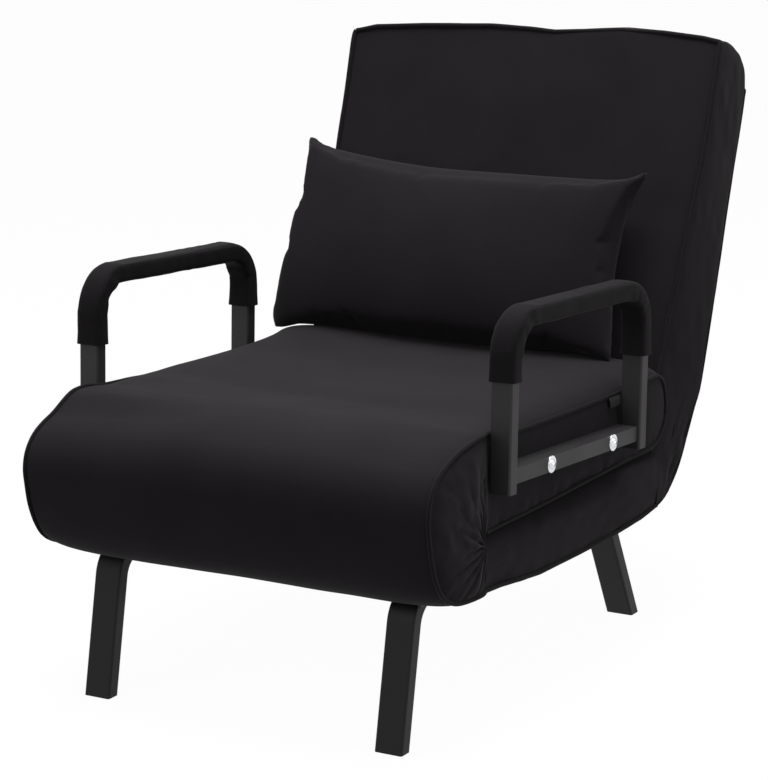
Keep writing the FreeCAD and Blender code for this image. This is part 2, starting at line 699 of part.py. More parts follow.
# Arm loops stand on the seat frame's two sides, and a bar between the posts carries the bolts
half_deep = size("arm_tube_deep") / 2
arm_mid_x = size("arm_outer") - size("arm_tube_wide") / 2
arm_route = [
    (half_deep, 0, 0),
    (half_deep, size("arm_height") - half_deep, size("arm_bend")),
    (size("arm_length") - half_deep, size("arm_height") - half_deep, size("arm_bend")),
    (size("arm_length") - half_deep, 0, 0),
]
arm_start = Placement(Vector(0, half_deep, 0), Rotation())
arm = bent_tube("arm_loop", arm_route, arm_mid_x, size("arm_tube_wide"), size("arm_tube_deep"), size("arm_wall"),
                arm_start, 3)
arm.Placement = SEAT
keep(arm, "arm_loop_right")
keep(mirror("arm_loop_other", arm), "arm_loop_left")

bar = frame_tube("arm_bar", "arm_outer - bar_inset - arm_tube_wide", "arm_tube_deep", "bar_low",
                 "arm_tube_wide", "arm_length - 2 * arm_tube_deep", "arm_tube_deep", "width")
holes = []
for number in range(2):
    u = size("bolt_first") + number * size("bolt_pitch")
    holes.append(rod("bar_hole_%d" % number, size("arm_outer") - size("bar_inset") - size("arm_tube_wide") - 1, u,
                     frame_mid_w, "bolt_dia / 2 + pin_gap", "arm_tube_wide + 2"))
bar = cut("arm_bar_drilled", bar, holes)
bar.Placement = SEAT
keep(bar, "arm_bar_right")
keep(mirror("arm_bar_other", bar), "arm_bar_left")

# Padded sleeves are pulled over the tops and both bends of the arm loops
sleeve_gap = 0.15
sleeve_route = list(arm_route)
sleeve_route[0] = (half_deep, size("sleeve_low"), 0)
sleeve_route[3] = (size("arm_length") - half_deep, size("sleeve_low"), 0)
sleeve_start = Placement(Vector(0, half_deep, size("sleeve_low")), Rotation())
sleeve_wide = size("arm_tube_wide") + 2 * (size("sleeve_thick") + sleeve_gap)
sleeve_deep = size("arm_tube_deep") + 2 * (size("sleeve_thick") + sleeve_gap)
sleeve = bent_tube("arm_sleeve", sleeve_route, arm_mid_x, sleeve_wide, sleeve_deep, size("sleeve_thick"),
                   sleeve_start, 6)
sleeve.Placement = SEAT
keep(sleeve, "arm_sleeve_right")
keep(mirror("arm_sleeve_other", sleeve), "arm_sleeve_left")

# Plugs close the lower ends of the posts
plugs = []
inset = size("arm_wall") + 0.05
for side, word in ((1, "right"), (-1, "left")):
    for place, y in (("front", "arm_wall + 0.05"), ("rear", "arm_length - arm_tube_deep + arm_wall + 0.05")):
        x = "arm_outer - arm_tube_wide + arm_wall + 0.05" if side > 0 else "arm_wall + 0.05 - arm_outer"
        plugs.append(block("post_plug_%s_%s" % (place, word), x, y, "0", "arm_tube_wide - 2 * arm_wall - 0.1",
                           "arm_tube_deep - 2 * arm_wall - 0.1", "plug_thick"))
post_plugs = group("post_plug_set", plugs)
post_plugs.Placement = SEAT
keep(post_plugs, "arm_post_plugs")

# Arm bolts run through washer, bar, spacer and frame rail into a nut
bolts = []
washers = []
spacers = []
nuts = []
bar_outer_x = size("arm_outer") - size("bar_inset")
bar_inner_x = bar_outer_x - size("arm_tube_wide")
rail_inner_x = size("seat_frame_outer") - size("frame_wide")
for side, word in ((1, "right"), (-1, "left")):
    for number in range(2):
        tag = "%s_%d" % (word, number)
        u = size("bolt_first") + number * size("bolt_pitch")

        def along(x):
            return Placement(Vector(side * x, u, frame_mid_w), Rotation(Vector(0, 1, 0), 90 * side))

        hole = doc.addObject("Part::Cylinder", "washer_hole_" + tag)
        put(hole, Radius="bolt_dia / 2 + pin_gap", Height="washer_thick + 2")
        hole.Placement = along(bar_outer_x - 1)
        disc = doc.addObject("Part::Cylinder", "washer_disc_" + tag)
        put(disc, Radius="washer_dia / 2", Height="washer_thick")
        disc.Placement = along(bar_outer_x)
        washers.append(cut("washer_" + tag, disc, [hole]))
        bore = doc.addObject("Part::Cylinder", "spacer_bore_" + tag)
        put(bore, Radius="bolt_dia / 2 + pin_gap", Height="seat_frame_outer")
        bore.Placement = along(size("seat_frame_outer") - 5)
        tube = doc.addObject("Part::Cylinder", "spacer_tube_" + tag)
        put(tube, Radius="spacer_dia / 2", Height="arm_outer - bar_inset - arm_tube_wide - seat_frame_outer")
        tube.Placement = along(size("seat_frame_outer"))
        spacers.append(cut("spacer_" + tag, tube, [bore]))
        shank = doc.addObject("Part::Cylinder", "shank_" + tag)
        put(shank, Radius="bolt_dia / 2")
        shank.Height = bar_outer_x + size("washer_thick") - rail_inner_x + size("nut_high") + 3
        shank.Placement = along(rail_inner_x - size("nut_high") - 3)
        head_low = bar_outer_x + size("washer_thick")
        dome_radius = (size("bolt_head_dia") ** 2 / 4 + size("bolt_head_high") ** 2) / 2 / size("bolt_head_high")
        dome = doc.addObject("Part::Sphere", "dome_" + tag)
        dome.Radius = dome_radius
        dome.Placement = along(head_low + size("bolt_head_high") - dome_radius)
        cap = doc.addObject("Part::Cylinder", "cap_" + tag)
        put(cap, Radius="bolt_head_dia / 2", Height="bolt_head_high")
        cap.Placement = along(head_low)
        head = doc.addObject("Part::Common", "head_" + tag)
        head.Base = dome
        head.Tool = cap
        socket = doc.addObject("Part::Prism", "socket_" + tag)
        socket.Polygon = 6
        socket.Circumradius = size("bolt_dia") * 0.34
        socket.Height = size("bolt_head_high")
        socket.Placement = along(head_low + size("bolt_head_high") * 0.4)
        bolts.append(cut("bolt_" + tag, fuse("bolt_solid_" + tag, [shank, head]), [socket]))
        hexagon = doc.addObject("Part::Prism", "nut_solid_" + tag)
        hexagon.Polygon = 6
        put(hexagon, Circumradius="nut_flats / 1.732", Height="nut_high")
        hexagon.Placement = along(rail_inner_x - size("nut_high"))
        thread = doc.addObject("Part::Cylinder", "nut_bore_" + tag)
        put(thread, Radius="bolt_dia / 2 + pin_gap", Height="nut_high + 2")
        thread.Placement = along(rail_inner_x - size("nut_high") - 1)
        nuts.append(cut("nut_" + tag, hexagon, [thread]))
for label, parts in (("arm_bolts", bolts), ("arm_washers", washers), ("arm_spacers", spacers), ("arm_nuts", nuts)):
    node = group(label + "_set", parts)
    node.Placement = SEAT
    keep(node, label)

# Sewn label: a small bare tab on the seat cushion's side seam, in front of the rear post
label_tab = block("label_tab", "seat_half", "label_rear - label_wide", "seat_rear_top - seat_drop - 20",
                  "label_thick", "label_wide", "label_high")
keep(label_tab, "fabric_label")

# Backrest: a welded frame with slats inside a cushion that leans back from the crease
tubes = []
for side, word in ((1, "right"), (-1, "left")):
    x = "seat_frame_outer - frame_wide" if side > 0 else "0 - seat_frame_outer"
    tubes.append(frame_tube("back_rail_" + word, x, "back_frame_in", "back_frame_low",
                            "frame_wide", "back_frame_deep", "back_frame_top - back_frame_low", "height"))
for word, z in (("low", "back_cross_low"), ("top", "back_frame_top - frame_wide")):
    tubes.append(frame_tube("back_cross_" + word, "frame_wide - seat_frame_outer", "back_frame_in", z,
                            "2 * ( seat_frame_outer - frame_wide )", "back_frame_deep", "frame_wide", "length"))
back_frame = fuse("back_frame_weld", tubes)
back_frame.Placement = BACK
keep(back_frame, "back_frame")

slats = []
for number in range(int(size("slat_count"))):
    step = "%d * ( back_frame_top - back_cross_low - slat_wide ) / ( slat_count - 1 ) + back_cross_low" % number
    slats.append(block("back_slat_%d" % number, "0 - seat_frame_outer", "back_frame_in - slat_thick", step,
                       "2 * seat_frame_outer", "slat_thick", "slat_wide"))
back_slats = group("back_slat_set", slats)
back_slats.Placement = BACK
keep(back_slats, "back_slats")


def back_outline(share):
    """The backrest's side outline in its own axes: (towards the rear, along the backrest)."""
    left = crown(share)
    drawn = 5 * (1 - left)
    bulge = 0.6 + size("back_crown") * left
    length = size("back_length") - drawn
    thick = size("back_thick") - drawn * 0.4
    return [
        (1, 0.4, 0),
        (thick, 0.4, 6),
        (thick, length, size("back_round")),
        (1, length, 10),
        (1 - bulge, length * 0.72, 300),
        (1 - bulge, 110, 300),
    ]


back = soft_form("back_cushion", [(share * size("mattress_half"), back_outline(share)) for share in CROWN_SHARES])
back.Placement = BACK
frame_near = size("back_frame_in")
frame_far = frame_near + size("back_frame_deep")
back_tools = []
for side, word in ((1, "right"), (-1, "left")):
    left = rail_in - gap if side > 0 else -size("seat_frame_outer") - gap
    back_tools.append(room("back_rail_room_" + word, BACK, (left, frame_near - 0.1, -5),
                           (left + size("frame_wide") + 2 * gap, frame_far + gap, size("back_frame_top") + gap)))
    left = slot_low if side > 0 else -slot_low - slot_wide
    back_tools.append(room("back_arm_room_" + word, BACK, (left, 0.4, -10),
                           (left + slot_wide, frame_far + gap, size("back_cross_low") - gap)))
for word, z in (("low", size("back_cross_low")), ("top", size("back_frame_top") - size("frame_wide"))):
    back_tools.append(room("back_cross_room_" + word, BACK, (-rail_in, frame_near - 0.1, z - gap),
                           (rail_in, frame_far + gap, z + size("frame_wide") + gap)))
back_tools.append(room("back_slat_room", BACK,
                       (-size("seat_frame_outer") - gap, frame_near - size("slat_thick") - gap,
                        size("back_cross_low") - gap),
                       (size("seat_frame_outer") + gap, frame_near, size("back_frame_top") + gap)))
keep(cut("back_cushion_hollowed", back, back_tools), "back_cushion")

# Recline hinge: a bracket on each leg loop rises to the pin below the crease, and an arm on the back frame turns
# round it. The pin is as far below the seat's plane as it is behind the backrest's, so the backrest lies down flush
foot_front = recline_y - 120
foot_rear = recline_y - 68
one, two = eye((recline_y, recline_z), size("recline_boss"), (recline_y - 60, rail_top))
recline_bracket = plate("recline_bracket", [(foot_front, rail_top - 16, 3), (foot_rear, rail_top - 16, 3),
                                            (recline_y - 20, recline_z - 28, 20), one, two,
                                            (foot_front, rail_top + 14, 10)],
                        size("leg_outer"), "plate_thick",
                        [(recline_y, recline_z, size("pin_dia") / 2 + size("pin_gap"))])
keep(recline_bracket, "recline_bracket_right")
keep(mirror("recline_bracket_other", recline_bracket), "recline_bracket_left")

rail_front = size("back_frame_in")
rail_back = rail_front + size("back_frame_deep")
pivot = BACK.inverse().multVec(Vector(0, recline_y, recline_z))
one, two = eye((pivot.y, pivot.z), size("recline_boss"), (rail_front + 8, 50))
arm_top = size("back_cross_low") - 2 * gap
recline_arm = plate("recline_arm", [one, two, (rail_back - 1, 36, 10), (rail_back - 1, arm_top, 3),
                                    (rail_front - 8, arm_top, 3)],
                    plate_inner_x, "plate_thick", [(pivot.y, pivot.z, size("pin_dia") / 2 + size("pin_gap"))])
recline_arm.Placement = BACK
keep(recline_arm, "recline_arm_right")
keep(mirror("recline_arm_other", recline_arm), "recline_arm_left")


# Pillow: a loose stuffed cushion that leans on the backrest, thick in the middle, with four pointed corners
def pillow_outline(share):
    half_long = size("pillow_length") / 2 - 22 * (1 - abs(share) ** 3)
    half_thick = max(size("pillow_thick") / 2 * crown(share) * (1 - 0.2 * abs(share)), 4)
    middle_y = -size("pillow_thick") / 2 - size("back_crown")
    middle_z = size("pillow_up") + size("pillow_length") / 2
    shoulder = half_long * 0.42
    turn = math.atan2(half_thick, shoulder)
    radius = 0.9 * min(math.hypot(half_thick, shoulder), half_long - shoulder) / math.tan(turn / 2)
    return [
        (middle_y, middle_z - half_long, 0),
        (middle_y + half_thick, middle_z - half_long + shoulder, radius),
        (middle_y + half_thick, middle_z + half_long - shoulder, radius),
        (middle_y, middle_z + half_long, 0),
        (middle_y - half_thick, middle_z + half_long - shoulder, radius),
        (middle_y - half_thick, middle_z - half_long + shoulder, radius),
    ]


pillow = soft_form("pillow_body", [(share * size("pillow_width") / 2 - size("pillow_shift"), pillow_outline(share))
                                   for share in CROWN_SHARES])
pillow.Placement = BACK
keep(pillow, "pillow")

doc.recompute()
for obj in doc.Objects:
    if "Invalid" in obj.State or "Error" in obj.State:
        raise RuntimeError("%s failed: %s" % (obj.Name, obj.getStatusString()))
os.makedirs("parts", exist_ok=True)
for obj in exported:
    shape = obj.Shape
    if shape.isNull() or not shape.isValid() or not shape.Solids:
        raise RuntimeError("%s has no valid solid" % obj.Label)
    shape.exportStep("parts/%s.step" % obj.Label)
    box = shape.BoundBox
    print("%-22s %2d solids %9.1f cm3  x %.1f..%.1f  y %.1f..%.1f  z %.1f..%.1f" % (
        obj.Label, len(shape.Solids), shape.Volume / 1000, box.XMin, box.XMax, box.YMin, box.YMax, box.ZMin,
        box.ZMax))
print(len(exported), "sub-parts")
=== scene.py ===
# %% [markdown]
# # Dressing a convertible chair bed
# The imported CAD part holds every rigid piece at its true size: tubes, hinges, slats and bolts. This notebook
# dresses it as the finished chair, a folded three-part mattress in black microfibre with padded arm sleeves
# and a loose pillow. Every shape is worked out here from a few measured lines, so that each number can be
# read and changed. The part's own frame is in metres: x across, y to the rear, z up from the floor. The
# cushions' lines are in millimetres of the same frame, and MM turns them into metres.

# %% Open the frame
import math

import bmesh
import bpy
import numpy as np
from mathutils import Matrix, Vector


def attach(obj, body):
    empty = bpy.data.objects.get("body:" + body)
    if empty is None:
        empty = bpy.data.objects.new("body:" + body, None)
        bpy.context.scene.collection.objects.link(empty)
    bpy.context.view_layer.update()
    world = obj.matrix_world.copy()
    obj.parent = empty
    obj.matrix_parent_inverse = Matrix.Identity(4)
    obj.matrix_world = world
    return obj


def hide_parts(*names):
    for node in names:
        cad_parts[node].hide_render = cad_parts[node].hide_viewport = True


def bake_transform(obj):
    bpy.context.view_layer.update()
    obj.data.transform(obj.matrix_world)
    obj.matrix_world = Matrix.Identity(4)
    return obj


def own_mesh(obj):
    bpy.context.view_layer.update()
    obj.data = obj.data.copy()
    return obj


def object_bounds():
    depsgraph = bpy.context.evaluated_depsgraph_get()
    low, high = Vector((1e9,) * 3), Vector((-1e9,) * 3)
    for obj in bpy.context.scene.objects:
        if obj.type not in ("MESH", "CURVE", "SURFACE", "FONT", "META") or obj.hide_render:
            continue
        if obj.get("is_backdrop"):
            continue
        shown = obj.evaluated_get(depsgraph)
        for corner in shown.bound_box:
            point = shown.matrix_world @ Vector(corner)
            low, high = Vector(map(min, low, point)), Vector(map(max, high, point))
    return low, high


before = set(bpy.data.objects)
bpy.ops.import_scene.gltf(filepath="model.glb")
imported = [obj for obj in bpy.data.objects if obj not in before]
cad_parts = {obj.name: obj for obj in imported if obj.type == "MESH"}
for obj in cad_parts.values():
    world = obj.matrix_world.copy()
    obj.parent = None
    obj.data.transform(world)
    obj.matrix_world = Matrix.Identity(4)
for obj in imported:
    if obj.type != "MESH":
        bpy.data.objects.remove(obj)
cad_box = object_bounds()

MM = 0.001

# %% [markdown]
# ## The camera
# The lens was solved from the square tubes, the level feet and the two equal arms in the photograph: a long
# lens about four metres away, a little above the seat, turned towards the front right corner. The matrix is
# made of three directions: the picture's right, the picture's up, and back from the subject to the lens.

# %% Place the camera
VIEW_TURN = math.radians(31.48)
VIEW_RISE = math.radians(13.5)
VIEW_ROLL = math.radians(-1.2)
VIEW_TARGET = np.array([-0.00122, -0.0503, 0.35849])
VIEW_DISTANCE = 3.91508
VIEW_LENS = 133.14
SENSOR_WIDTH = 36.0


def add_object(name, data):
    """A new object of the scene that holds a mesh, a lamp or a camera."""
    made = bpy.data.objects.new(name, data)
    bpy.context.scene.collection.objects.link(made)
    return made


def facing(right, up, back, place):
    """The matrix of a camera or lamp at a place, from its three directions; it looks against the last."""
    turned = Matrix(np.column_stack([right, up, back]).tolist()).to_4x4()
    turned.translation = list(place)
    return turned


to_lens = np.array([math.sin(VIEW_TURN) * math.cos(VIEW_RISE), -math.cos(VIEW_TURN) * math.cos(VIEW_RISE),
                    math.sin(VIEW_RISE)])
level_way = np.array([math.cos(VIEW_TURN), math.sin(VIEW_TURN), 0.0])
rise_way = np.cross(to_lens, level_way)
right_way = level_way * math.cos(VIEW_ROLL) + rise_way * math.sin(VIEW_ROLL)
up_way = rise_way * math.cos(VIEW_ROLL) - level_way * math.sin(VIEW_ROLL)
lens_place = VIEW_TARGET + to_lens * VIEW_DISTANCE

camera = add_object("photo_camera", bpy.data.cameras.new("photo_camera"))
camera.data.lens = VIEW_LENS
camera.data.sensor_width = SENSOR_WIDTH
camera.matrix_world = facing(right_way, up_way, to_lens, lens_place)
bpy.context.scene.camera = camera
print("camera at", np.round(lens_place, 3))

# %% [markdown]
# ## Floor and light
# The studio is a white sweep under soft boxes: one large box overhead, a long one at the chair's right and a
# weak fill in front. The floor and the world turn white only for the rays that come from the lens or from a
# mirror, so the background is white without pouring more light on black cloth.

# %% Node helpers
def new_material(name):
    """An empty node material, its node tree and its output node."""
    made = bpy.data.materials.new(name)
    made.use_nodes = True
    made.node_tree.nodes.clear()
    return made, made.node_tree, made.node_tree.nodes.new("ShaderNodeOutputMaterial")


def add_node(tree, kind, **values):
    """A node of a kind with some inputs set by name, where an underline stands for a space."""
    made = tree.nodes.new(kind)
    for name, value in values.items():
        made.inputs[name.replace("_", " ")].default_value = value
    return made


def worked_out(tree, operation, first, second):
    """A Math node's result for two values, each a socket or a number."""
    made = tree.nodes.new("ShaderNodeMath")
    made.operation = operation
    for place, value in zip(made.inputs, (first, second)):
        if isinstance(value, float):
            place.default_value = value
        else:
            tree.links.new(value, place)
    return made.outputs[0]


def seen_directly(tree):
    """A socket that is 1 for camera, glossy and transmission rays and 0 for the light that bounces."""
    path = tree.nodes.new("ShaderNodeLightPath")
    largest = path.outputs["Is Camera Ray"]
    for kind in ("Is Glossy Ray", "Is Transmission Ray"):
        largest = worked_out(tree, "MAXIMUM", largest, path.outputs[kind])
    return largest


def mixed_by(tree, share, first, second):
    """A mix of two shader nodes by a socket."""
    mix = tree.nodes.new("ShaderNodeMixShader")
    tree.links.new(share, mix.inputs[0])
    tree.links.new(first.outputs[0], mix.inputs[1])
    tree.links.new(second.outputs[0], mix.inputs[2])
    return mix.outputs[0]


# %% [markdown]
# The floor mixes plain paper, which keeps the chair's shadow, with a glow that only those rays see. The world
# does the same with a dim and a bright white.

# %% Floor and world
FLOOR_TONE = 0.28
FLOOR_GLOW = 1.21
FLOOR_WHITE_SHARE = 0.8
FLOOR_REACH = 40.0
WORLD_DIM = 0.13
WHITE = (1, 1, 1, 1)

floor_paint, tree, output = new_material("studio_floor")
paper = add_node(tree, "ShaderNodeBsdfDiffuse", Color=(FLOOR_TONE, FLOOR_TONE, FLOOR_TONE, 1))
glow = add_node(tree, "ShaderNodeEmission", Strength=FLOOR_GLOW)
share = worked_out(tree, "MULTIPLY", seen_directly(tree), FLOOR_WHITE_SHARE)
tree.links.new(mixed_by(tree, share, paper, glow), output.inputs["Surface"])

floor_mesh = bpy.data.meshes.new("studio_floor")
floor_corners = [(FLOOR_REACH * x, FLOOR_REACH * y, 0) for x, y in ((-1, -1), (1, -1), (1, 1), (-1, 1))]
floor_mesh.from_pydata(floor_corners, [], [(0, 1, 2, 3)])
floor_mesh.materials.append(floor_paint)
floor = add_object("studio_floor", floor_mesh)
floor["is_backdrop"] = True

world = bpy.data.worlds.new("studio")
world.use_nodes = True
bpy.context.scene.world = world
tree = world.node_tree
tree.nodes.clear()
dim = add_node(tree, "ShaderNodeBackground", Color=WHITE, Strength=WORLD_DIM)
bright = add_node(tree, "ShaderNodeBackground", Color=WHITE, Strength=1.0)
output = tree.nodes.new("ShaderNodeOutputWorld")
tree.links.new(mixed_by(tree, seen_directly(tree), dim, bright), output.inputs["Surface"])
print("floor and world are in place")

# %% [markdown]
# The soft boxes are area lamps, whose size gives the shadows their soft edges. Their power is low, because
# the cloth must stay nearly black.

# %% Lamps
NEAR_Y = (0.0, 1.0, 0.02)


def soft_box(name, place, aim, width, height, power):
    """A rectangular lamp of some watts at a place, facing a point, its width nearly along x."""
    lamp = bpy.data.lights.new(name, "AREA")
    lamp.shape = "RECTANGLE"
    lamp.size = width
    lamp.size_y = height
    lamp.energy = power
    away = np.array(place) - np.array(aim)
    away = away / np.linalg.norm(away)
    side = np.cross(NEAR_Y, away)
    side = side / np.linalg.norm(side)
    add_object(name, lamp).matrix_world = facing(side, np.cross(away, side), away, place)


soft_box("box_overhead", place=(0.1, 0.0, 3.0), aim=(0, 0, 0.4), width=2.6, height=2.2, power=79)
soft_box("box_right", place=(3.2, -0.3, 1.2), aim=(0, 0, 0.4), width=1.6, height=2.0, power=11)
soft_box("box_front", place=(-1.2, -3.4, 1.9), aim=(0, 0, 0.5), width=1.8, height=1.8, power=12)
bpy.context.scene.view_settings.view_transform = "Standard"
print("three soft boxes are in place")

# %% [markdown]
# ## Microfibre, sleeve cloth, powder coat, zinc, plastic and wood
# The cover is a brushed microfibre: nearly black face on, paler where it is seen along its nap, which the
# sheen lobe gives. Its finer structure is a fibre grain of less than a millimetre and a slow mottling where
# the nap has been stroked one way or the other. The tubes have the fine orange peel of baked powder coat.
# Each finish reads Object coordinates, because no pattern here has to follow a seam.

# %% Patterns and bumps
NOISE_LOW, NOISE_HIGH = 0.3, 0.7


def new_finish(name, colour, roughness, **more):
    """A material with a Principled shader wired to its output."""
    made, tree, output = new_material(name)
    shader = add_node(tree, "ShaderNodeBsdfPrincipled", Base_Color=(*colour, 1), Roughness=roughness, **more)
    tree.links.new(shader.outputs[0], output.inputs["Surface"])
    return made, tree, shader


def pattern(tree, scale, detail, stretch=(1, 1, 1), roughness=0.5):
    """Noise over Object coordinates; scale is in turns per metre and stretch is per axis."""
    place = tree.nodes.new("ShaderNodeTexCoord")
    turn = add_node(tree, "ShaderNodeMapping", Scale=stretch)
    noise = add_node(tree, "ShaderNodeTexNoise", Scale=scale, Detail=detail, Roughness=roughness)
    tree.links.new(place.outputs["Object"], turn.inputs["Vector"])
    tree.links.new(turn.outputs[0], noise.inputs["Vector"])
    return noise.outputs["Fac"]


def ramp(tree, source, low, high):
    """Colours between low and high as a noise goes through its usual span."""
    made = tree.nodes.new("ShaderNodeValToRGB")
    for stop, place, colour in zip(made.color_ramp.elements, (NOISE_LOW, NOISE_HIGH), (low, high)):
        stop.position = place
        stop.color = (*colour, 1)
    tree.links.new(source, made.inputs["Fac"])
    return made.outputs["Color"]


def spread(tree, source, low, high):
    """A number from low to high as a noise goes through its usual span."""
    made = add_node(tree, "ShaderNodeMapRange", From_Min=NOISE_LOW, From_Max=NOISE_HIGH, To_Min=low,
                    To_Max=high)
    tree.links.new(source, made.inputs["Value"])
    return made.outputs["Result"]


def bump(tree, source, strength, depth, under=None):
    """A bump of that depth in metres, on top of another bump."""
    made = add_node(tree, "ShaderNodeBump", Strength=strength, Distance=depth)
    tree.links.new(source, made.inputs["Height"])
    if under is not None:
        tree.links.new(under, made.inputs["Normal"])
    return made.outputs["Normal"]


# %% [markdown]
# A cloth is rough and hardly mirrors anything, so its sheen carries most of its shine. Two bumps lie on each
# other: the nap, and the fibres on it.

# %% Cloths
CLOTH_SPECULAR = 0.12
SHEEN_ROUGHNESS = 0.42
NAP_SHARE = 0.12
NAP_DEPTH, FIBRE_DEPTH = 0.0009, 0.00025


def cloth_finish(name, dark, pale, grain, mottling, roughness, sheen):
    """Brushed cloth: a fibre grain, a slow mottling of the nap and a sheen along the surface."""
    made, tree, shader = new_finish(name, dark, roughness, Sheen_Weight=sheen,
                                    Sheen_Roughness=SHEEN_ROUGHNESS, Specular_IOR_Level=CLOTH_SPECULAR)
    slow = pattern(tree, mottling, 5.0)
    tree.links.new(ramp(tree, slow, dark, pale), shader.inputs["Base Color"])
    fine = pattern(tree, grain, 2.0)
    middle = pattern(tree, grain * NAP_SHARE, 3.0)
    tree.links.new(spread(tree, fine, roughness - 0.08, roughness + 0.06), shader.inputs["Roughness"])
    nap = bump(tree, middle, 0.25, NAP_DEPTH)
    tree.links.new(bump(tree, fine, 0.5, FIBRE_DEPTH, nap), shader.inputs["Normal"])
    return made


microfibre = cloth_finish("black_microfibre", (0.0145, 0.0122, 0.0145), (0.0190, 0.0161, 0.0190),
                          grain=1300, mottling=9, roughness=0.9, sheen=0.05)
# The piping's cloth is the microfibre made darker: painted shade along the seams.
piping_shade_cloth = cloth_finish("piping_painted_shade", (0.0100, 0.0085, 0.0100), (0.0130, 0.0110, 0.0130),
                            grain=1500, mottling=30, roughness=0.85, sheen=0.06)
sleeve_cloth = cloth_finish("sleeve_cloth", (0.0062, 0.0052, 0.0062), (0.0092, 0.0078, 0.0092),
                            grain=1700, mottling=22, roughness=0.85, sheen=0.025)
label_cloth = cloth_finish("label_tape", (0.030, 0.030, 0.031), (0.040, 0.040, 0.041),
                           grain=2200, mottling=60, roughness=0.6, sheen=0.1)
print("four cloths")

# %% [markdown]
# Powder coat, bare black steel and moulded plastic share one recipe with other numbers. Zinc is a metal with
# a cloudy gloss, and the slats have a grain that is drawn out along the wood.

# %% Hard finishes
def coated_finish(name, colour, pale, roughness, grain=900, depth=0.00012, gloss=0.35):
    """A hard coat with fine peel, slightly uneven in gloss and tone."""
    made, tree, shader = new_finish(name, colour, roughness, Specular_IOR_Level=gloss)
    slow = pattern(tree, 14, 4.0)
    tree.links.new(ramp(tree, slow, colour, pale), shader.inputs["Base Color"])
    fine = pattern(tree, grain, 2.0)
    tree.links.new(spread(tree, slow, roughness - 0.04, roughness + 0.05), shader.inputs["Roughness"])
    tree.links.new(bump(tree, fine, 0.35, depth), shader.inputs["Normal"])
    return made


powder_coat = coated_finish("charcoal_powder_coat", (0.018, 0.0162, 0.018), (0.023, 0.0208, 0.023), 0.55)
# The legs' coat is the arms' powder coat made darker: painted shade from the seat above them.
leg_shade_coat = coated_finish("leg_painted_shade_coat", (0.0105, 0.0092, 0.0105), (0.014, 0.0124, 0.014), 0.5, gloss=0.2)
frame_steel = coated_finish("black_frame_steel", (0.022, 0.022, 0.023), (0.030, 0.030, 0.031), 0.5)
plug_plastic = coated_finish("plug_plastic", (0.014, 0.014, 0.014), (0.018, 0.018, 0.018), 0.42,
                             grain=500, depth=0.00008)

zinc, tree, shader = new_finish("bright_zinc", (0.72, 0.73, 0.75), 0.24, Metallic=1.0)
clouds = pattern(tree, 160, 4.0)
tree.links.new(ramp(tree, clouds, (0.62, 0.63, 0.66), (0.82, 0.83, 0.84)), shader.inputs["Base Color"])
tree.links.new(spread(tree, clouds, 0.18, 0.34), shader.inputs["Roughness"])
tree.links.new(bump(tree, pattern(tree, 900, 2.0), 0.2, 0.00005), shader.inputs["Normal"])

slat_wood, tree, shader = new_finish("birch_slats", (0.55, 0.38, 0.22), 0.55)
grain = pattern(tree, 60, 6.0, (0.06, 1, 1), 0.6)
tree.links.new(ramp(tree, grain, (0.42, 0.27, 0.14), (0.64, 0.47, 0.29)), shader.inputs["Base Color"])
tree.links.new(bump(tree, grain, 0.3, 0.0003), shader.inputs["Normal"])
print(len(bpy.data.materials), "materials")

# %% [markdown]
# The name of each CAD node's material picks its finish. The leg loops are a little darker than the arms in
# the photograph because they stand in the shade under the seat. So they get a darker copy of the arms' powder
# coat, which is painted shade.

# %% A finish for every CAD node
FINISH_OF_SLOT = {"powder_coated_tube": powder_coat, "frame_steel": frame_steel, "zinc": zinc,
                  "plug_plastic": plug_plastic, "slat_wood": slat_wood, "black_fabric": microfibre,
                  "label_cloth": label_cloth}
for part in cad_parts.values():
    for place in part.material_slots:
        place.material = FINISH_OF_SLOT[place.material.name.split(".")[0]]
# The leg loops take the darker coat, which is painted shade.
for word in ("right", "left"):
    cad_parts["leg_loop_" + word].material_slots[0].material = leg_shade_coat
print(len(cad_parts), "nodes have their finish")

# %% [markdown]
# ## Surfaces from numbers
# A cushion starts as a line seen from the side. A smooth curve runs through a few measured points, the curve
# is carried across the chair, and it swells by its own crown between the side seams. The two side panels
# close it towards a line inside. Everything is done on whole arrays, one row per place across the chair.

# %% Curves
FINE_STEPS = 80


def curve_through(points, pitch, with_end=True):
    """Even steps along a Catmull-Rom curve through the points; columns after the second are carried along."""
    given = np.asarray(points, float)
    ends = np.vstack([2 * given[0] - given[1], given, 2 * given[-1] - given[-2]])
    place = np.linspace(0, len(given) - 1, FINE_STEPS * len(given))
    first = np.minimum(place.astype(int), len(given) - 2)
    f = (place - first)[:, None]
    a, b, c, d = ends[first], ends[first + 1], ends[first + 2], ends[first + 3]
    fine = 0.5 * (2 * b + (c - a) * f + (2 * a - 5 * b + 4 * c - d) * f**2 + (3 * b - a - 3 * c + d) * f**3)
    length = np.concatenate([[0], np.cumsum(np.linalg.norm(np.diff(fine[:, :2], axis=0), axis=1))])
    stops = np.linspace(0, length[-1], max(2, int(round(length[-1] / pitch)) + 1))
    even = np.stack([np.interp(stops, length, column) for column in fine.T], axis=1)
    return even if with_end else even[:-1]


def normals_of(line):
    """Unit normals of a line in a plane, to the left of its direction."""
    way = np.gradient(line, axis=0)
    way = way / np.maximum(np.linalg.norm(way, axis=1, keepdims=True), 1e-9)
    return np.stack([-way[:, 1], way[:, 0]], axis=1)


def eased(x):
    """0 below 0, 1 above 1, and a smooth step between."""
    x = np.clip(x, 0, 1)
    return x * x * (3 - 2 * x)


def between(x, start, end):
    """A smooth step from 0 at start to 1 at end, which may be the smaller."""
    return eased((x - start) / (end - start))


# %% [markdown]
# A surface is a grid of points joined by four-cornered faces. Points that meet are welded, which closes it.

# %% Grids and pieces
WELD_WITHIN = 0.00004


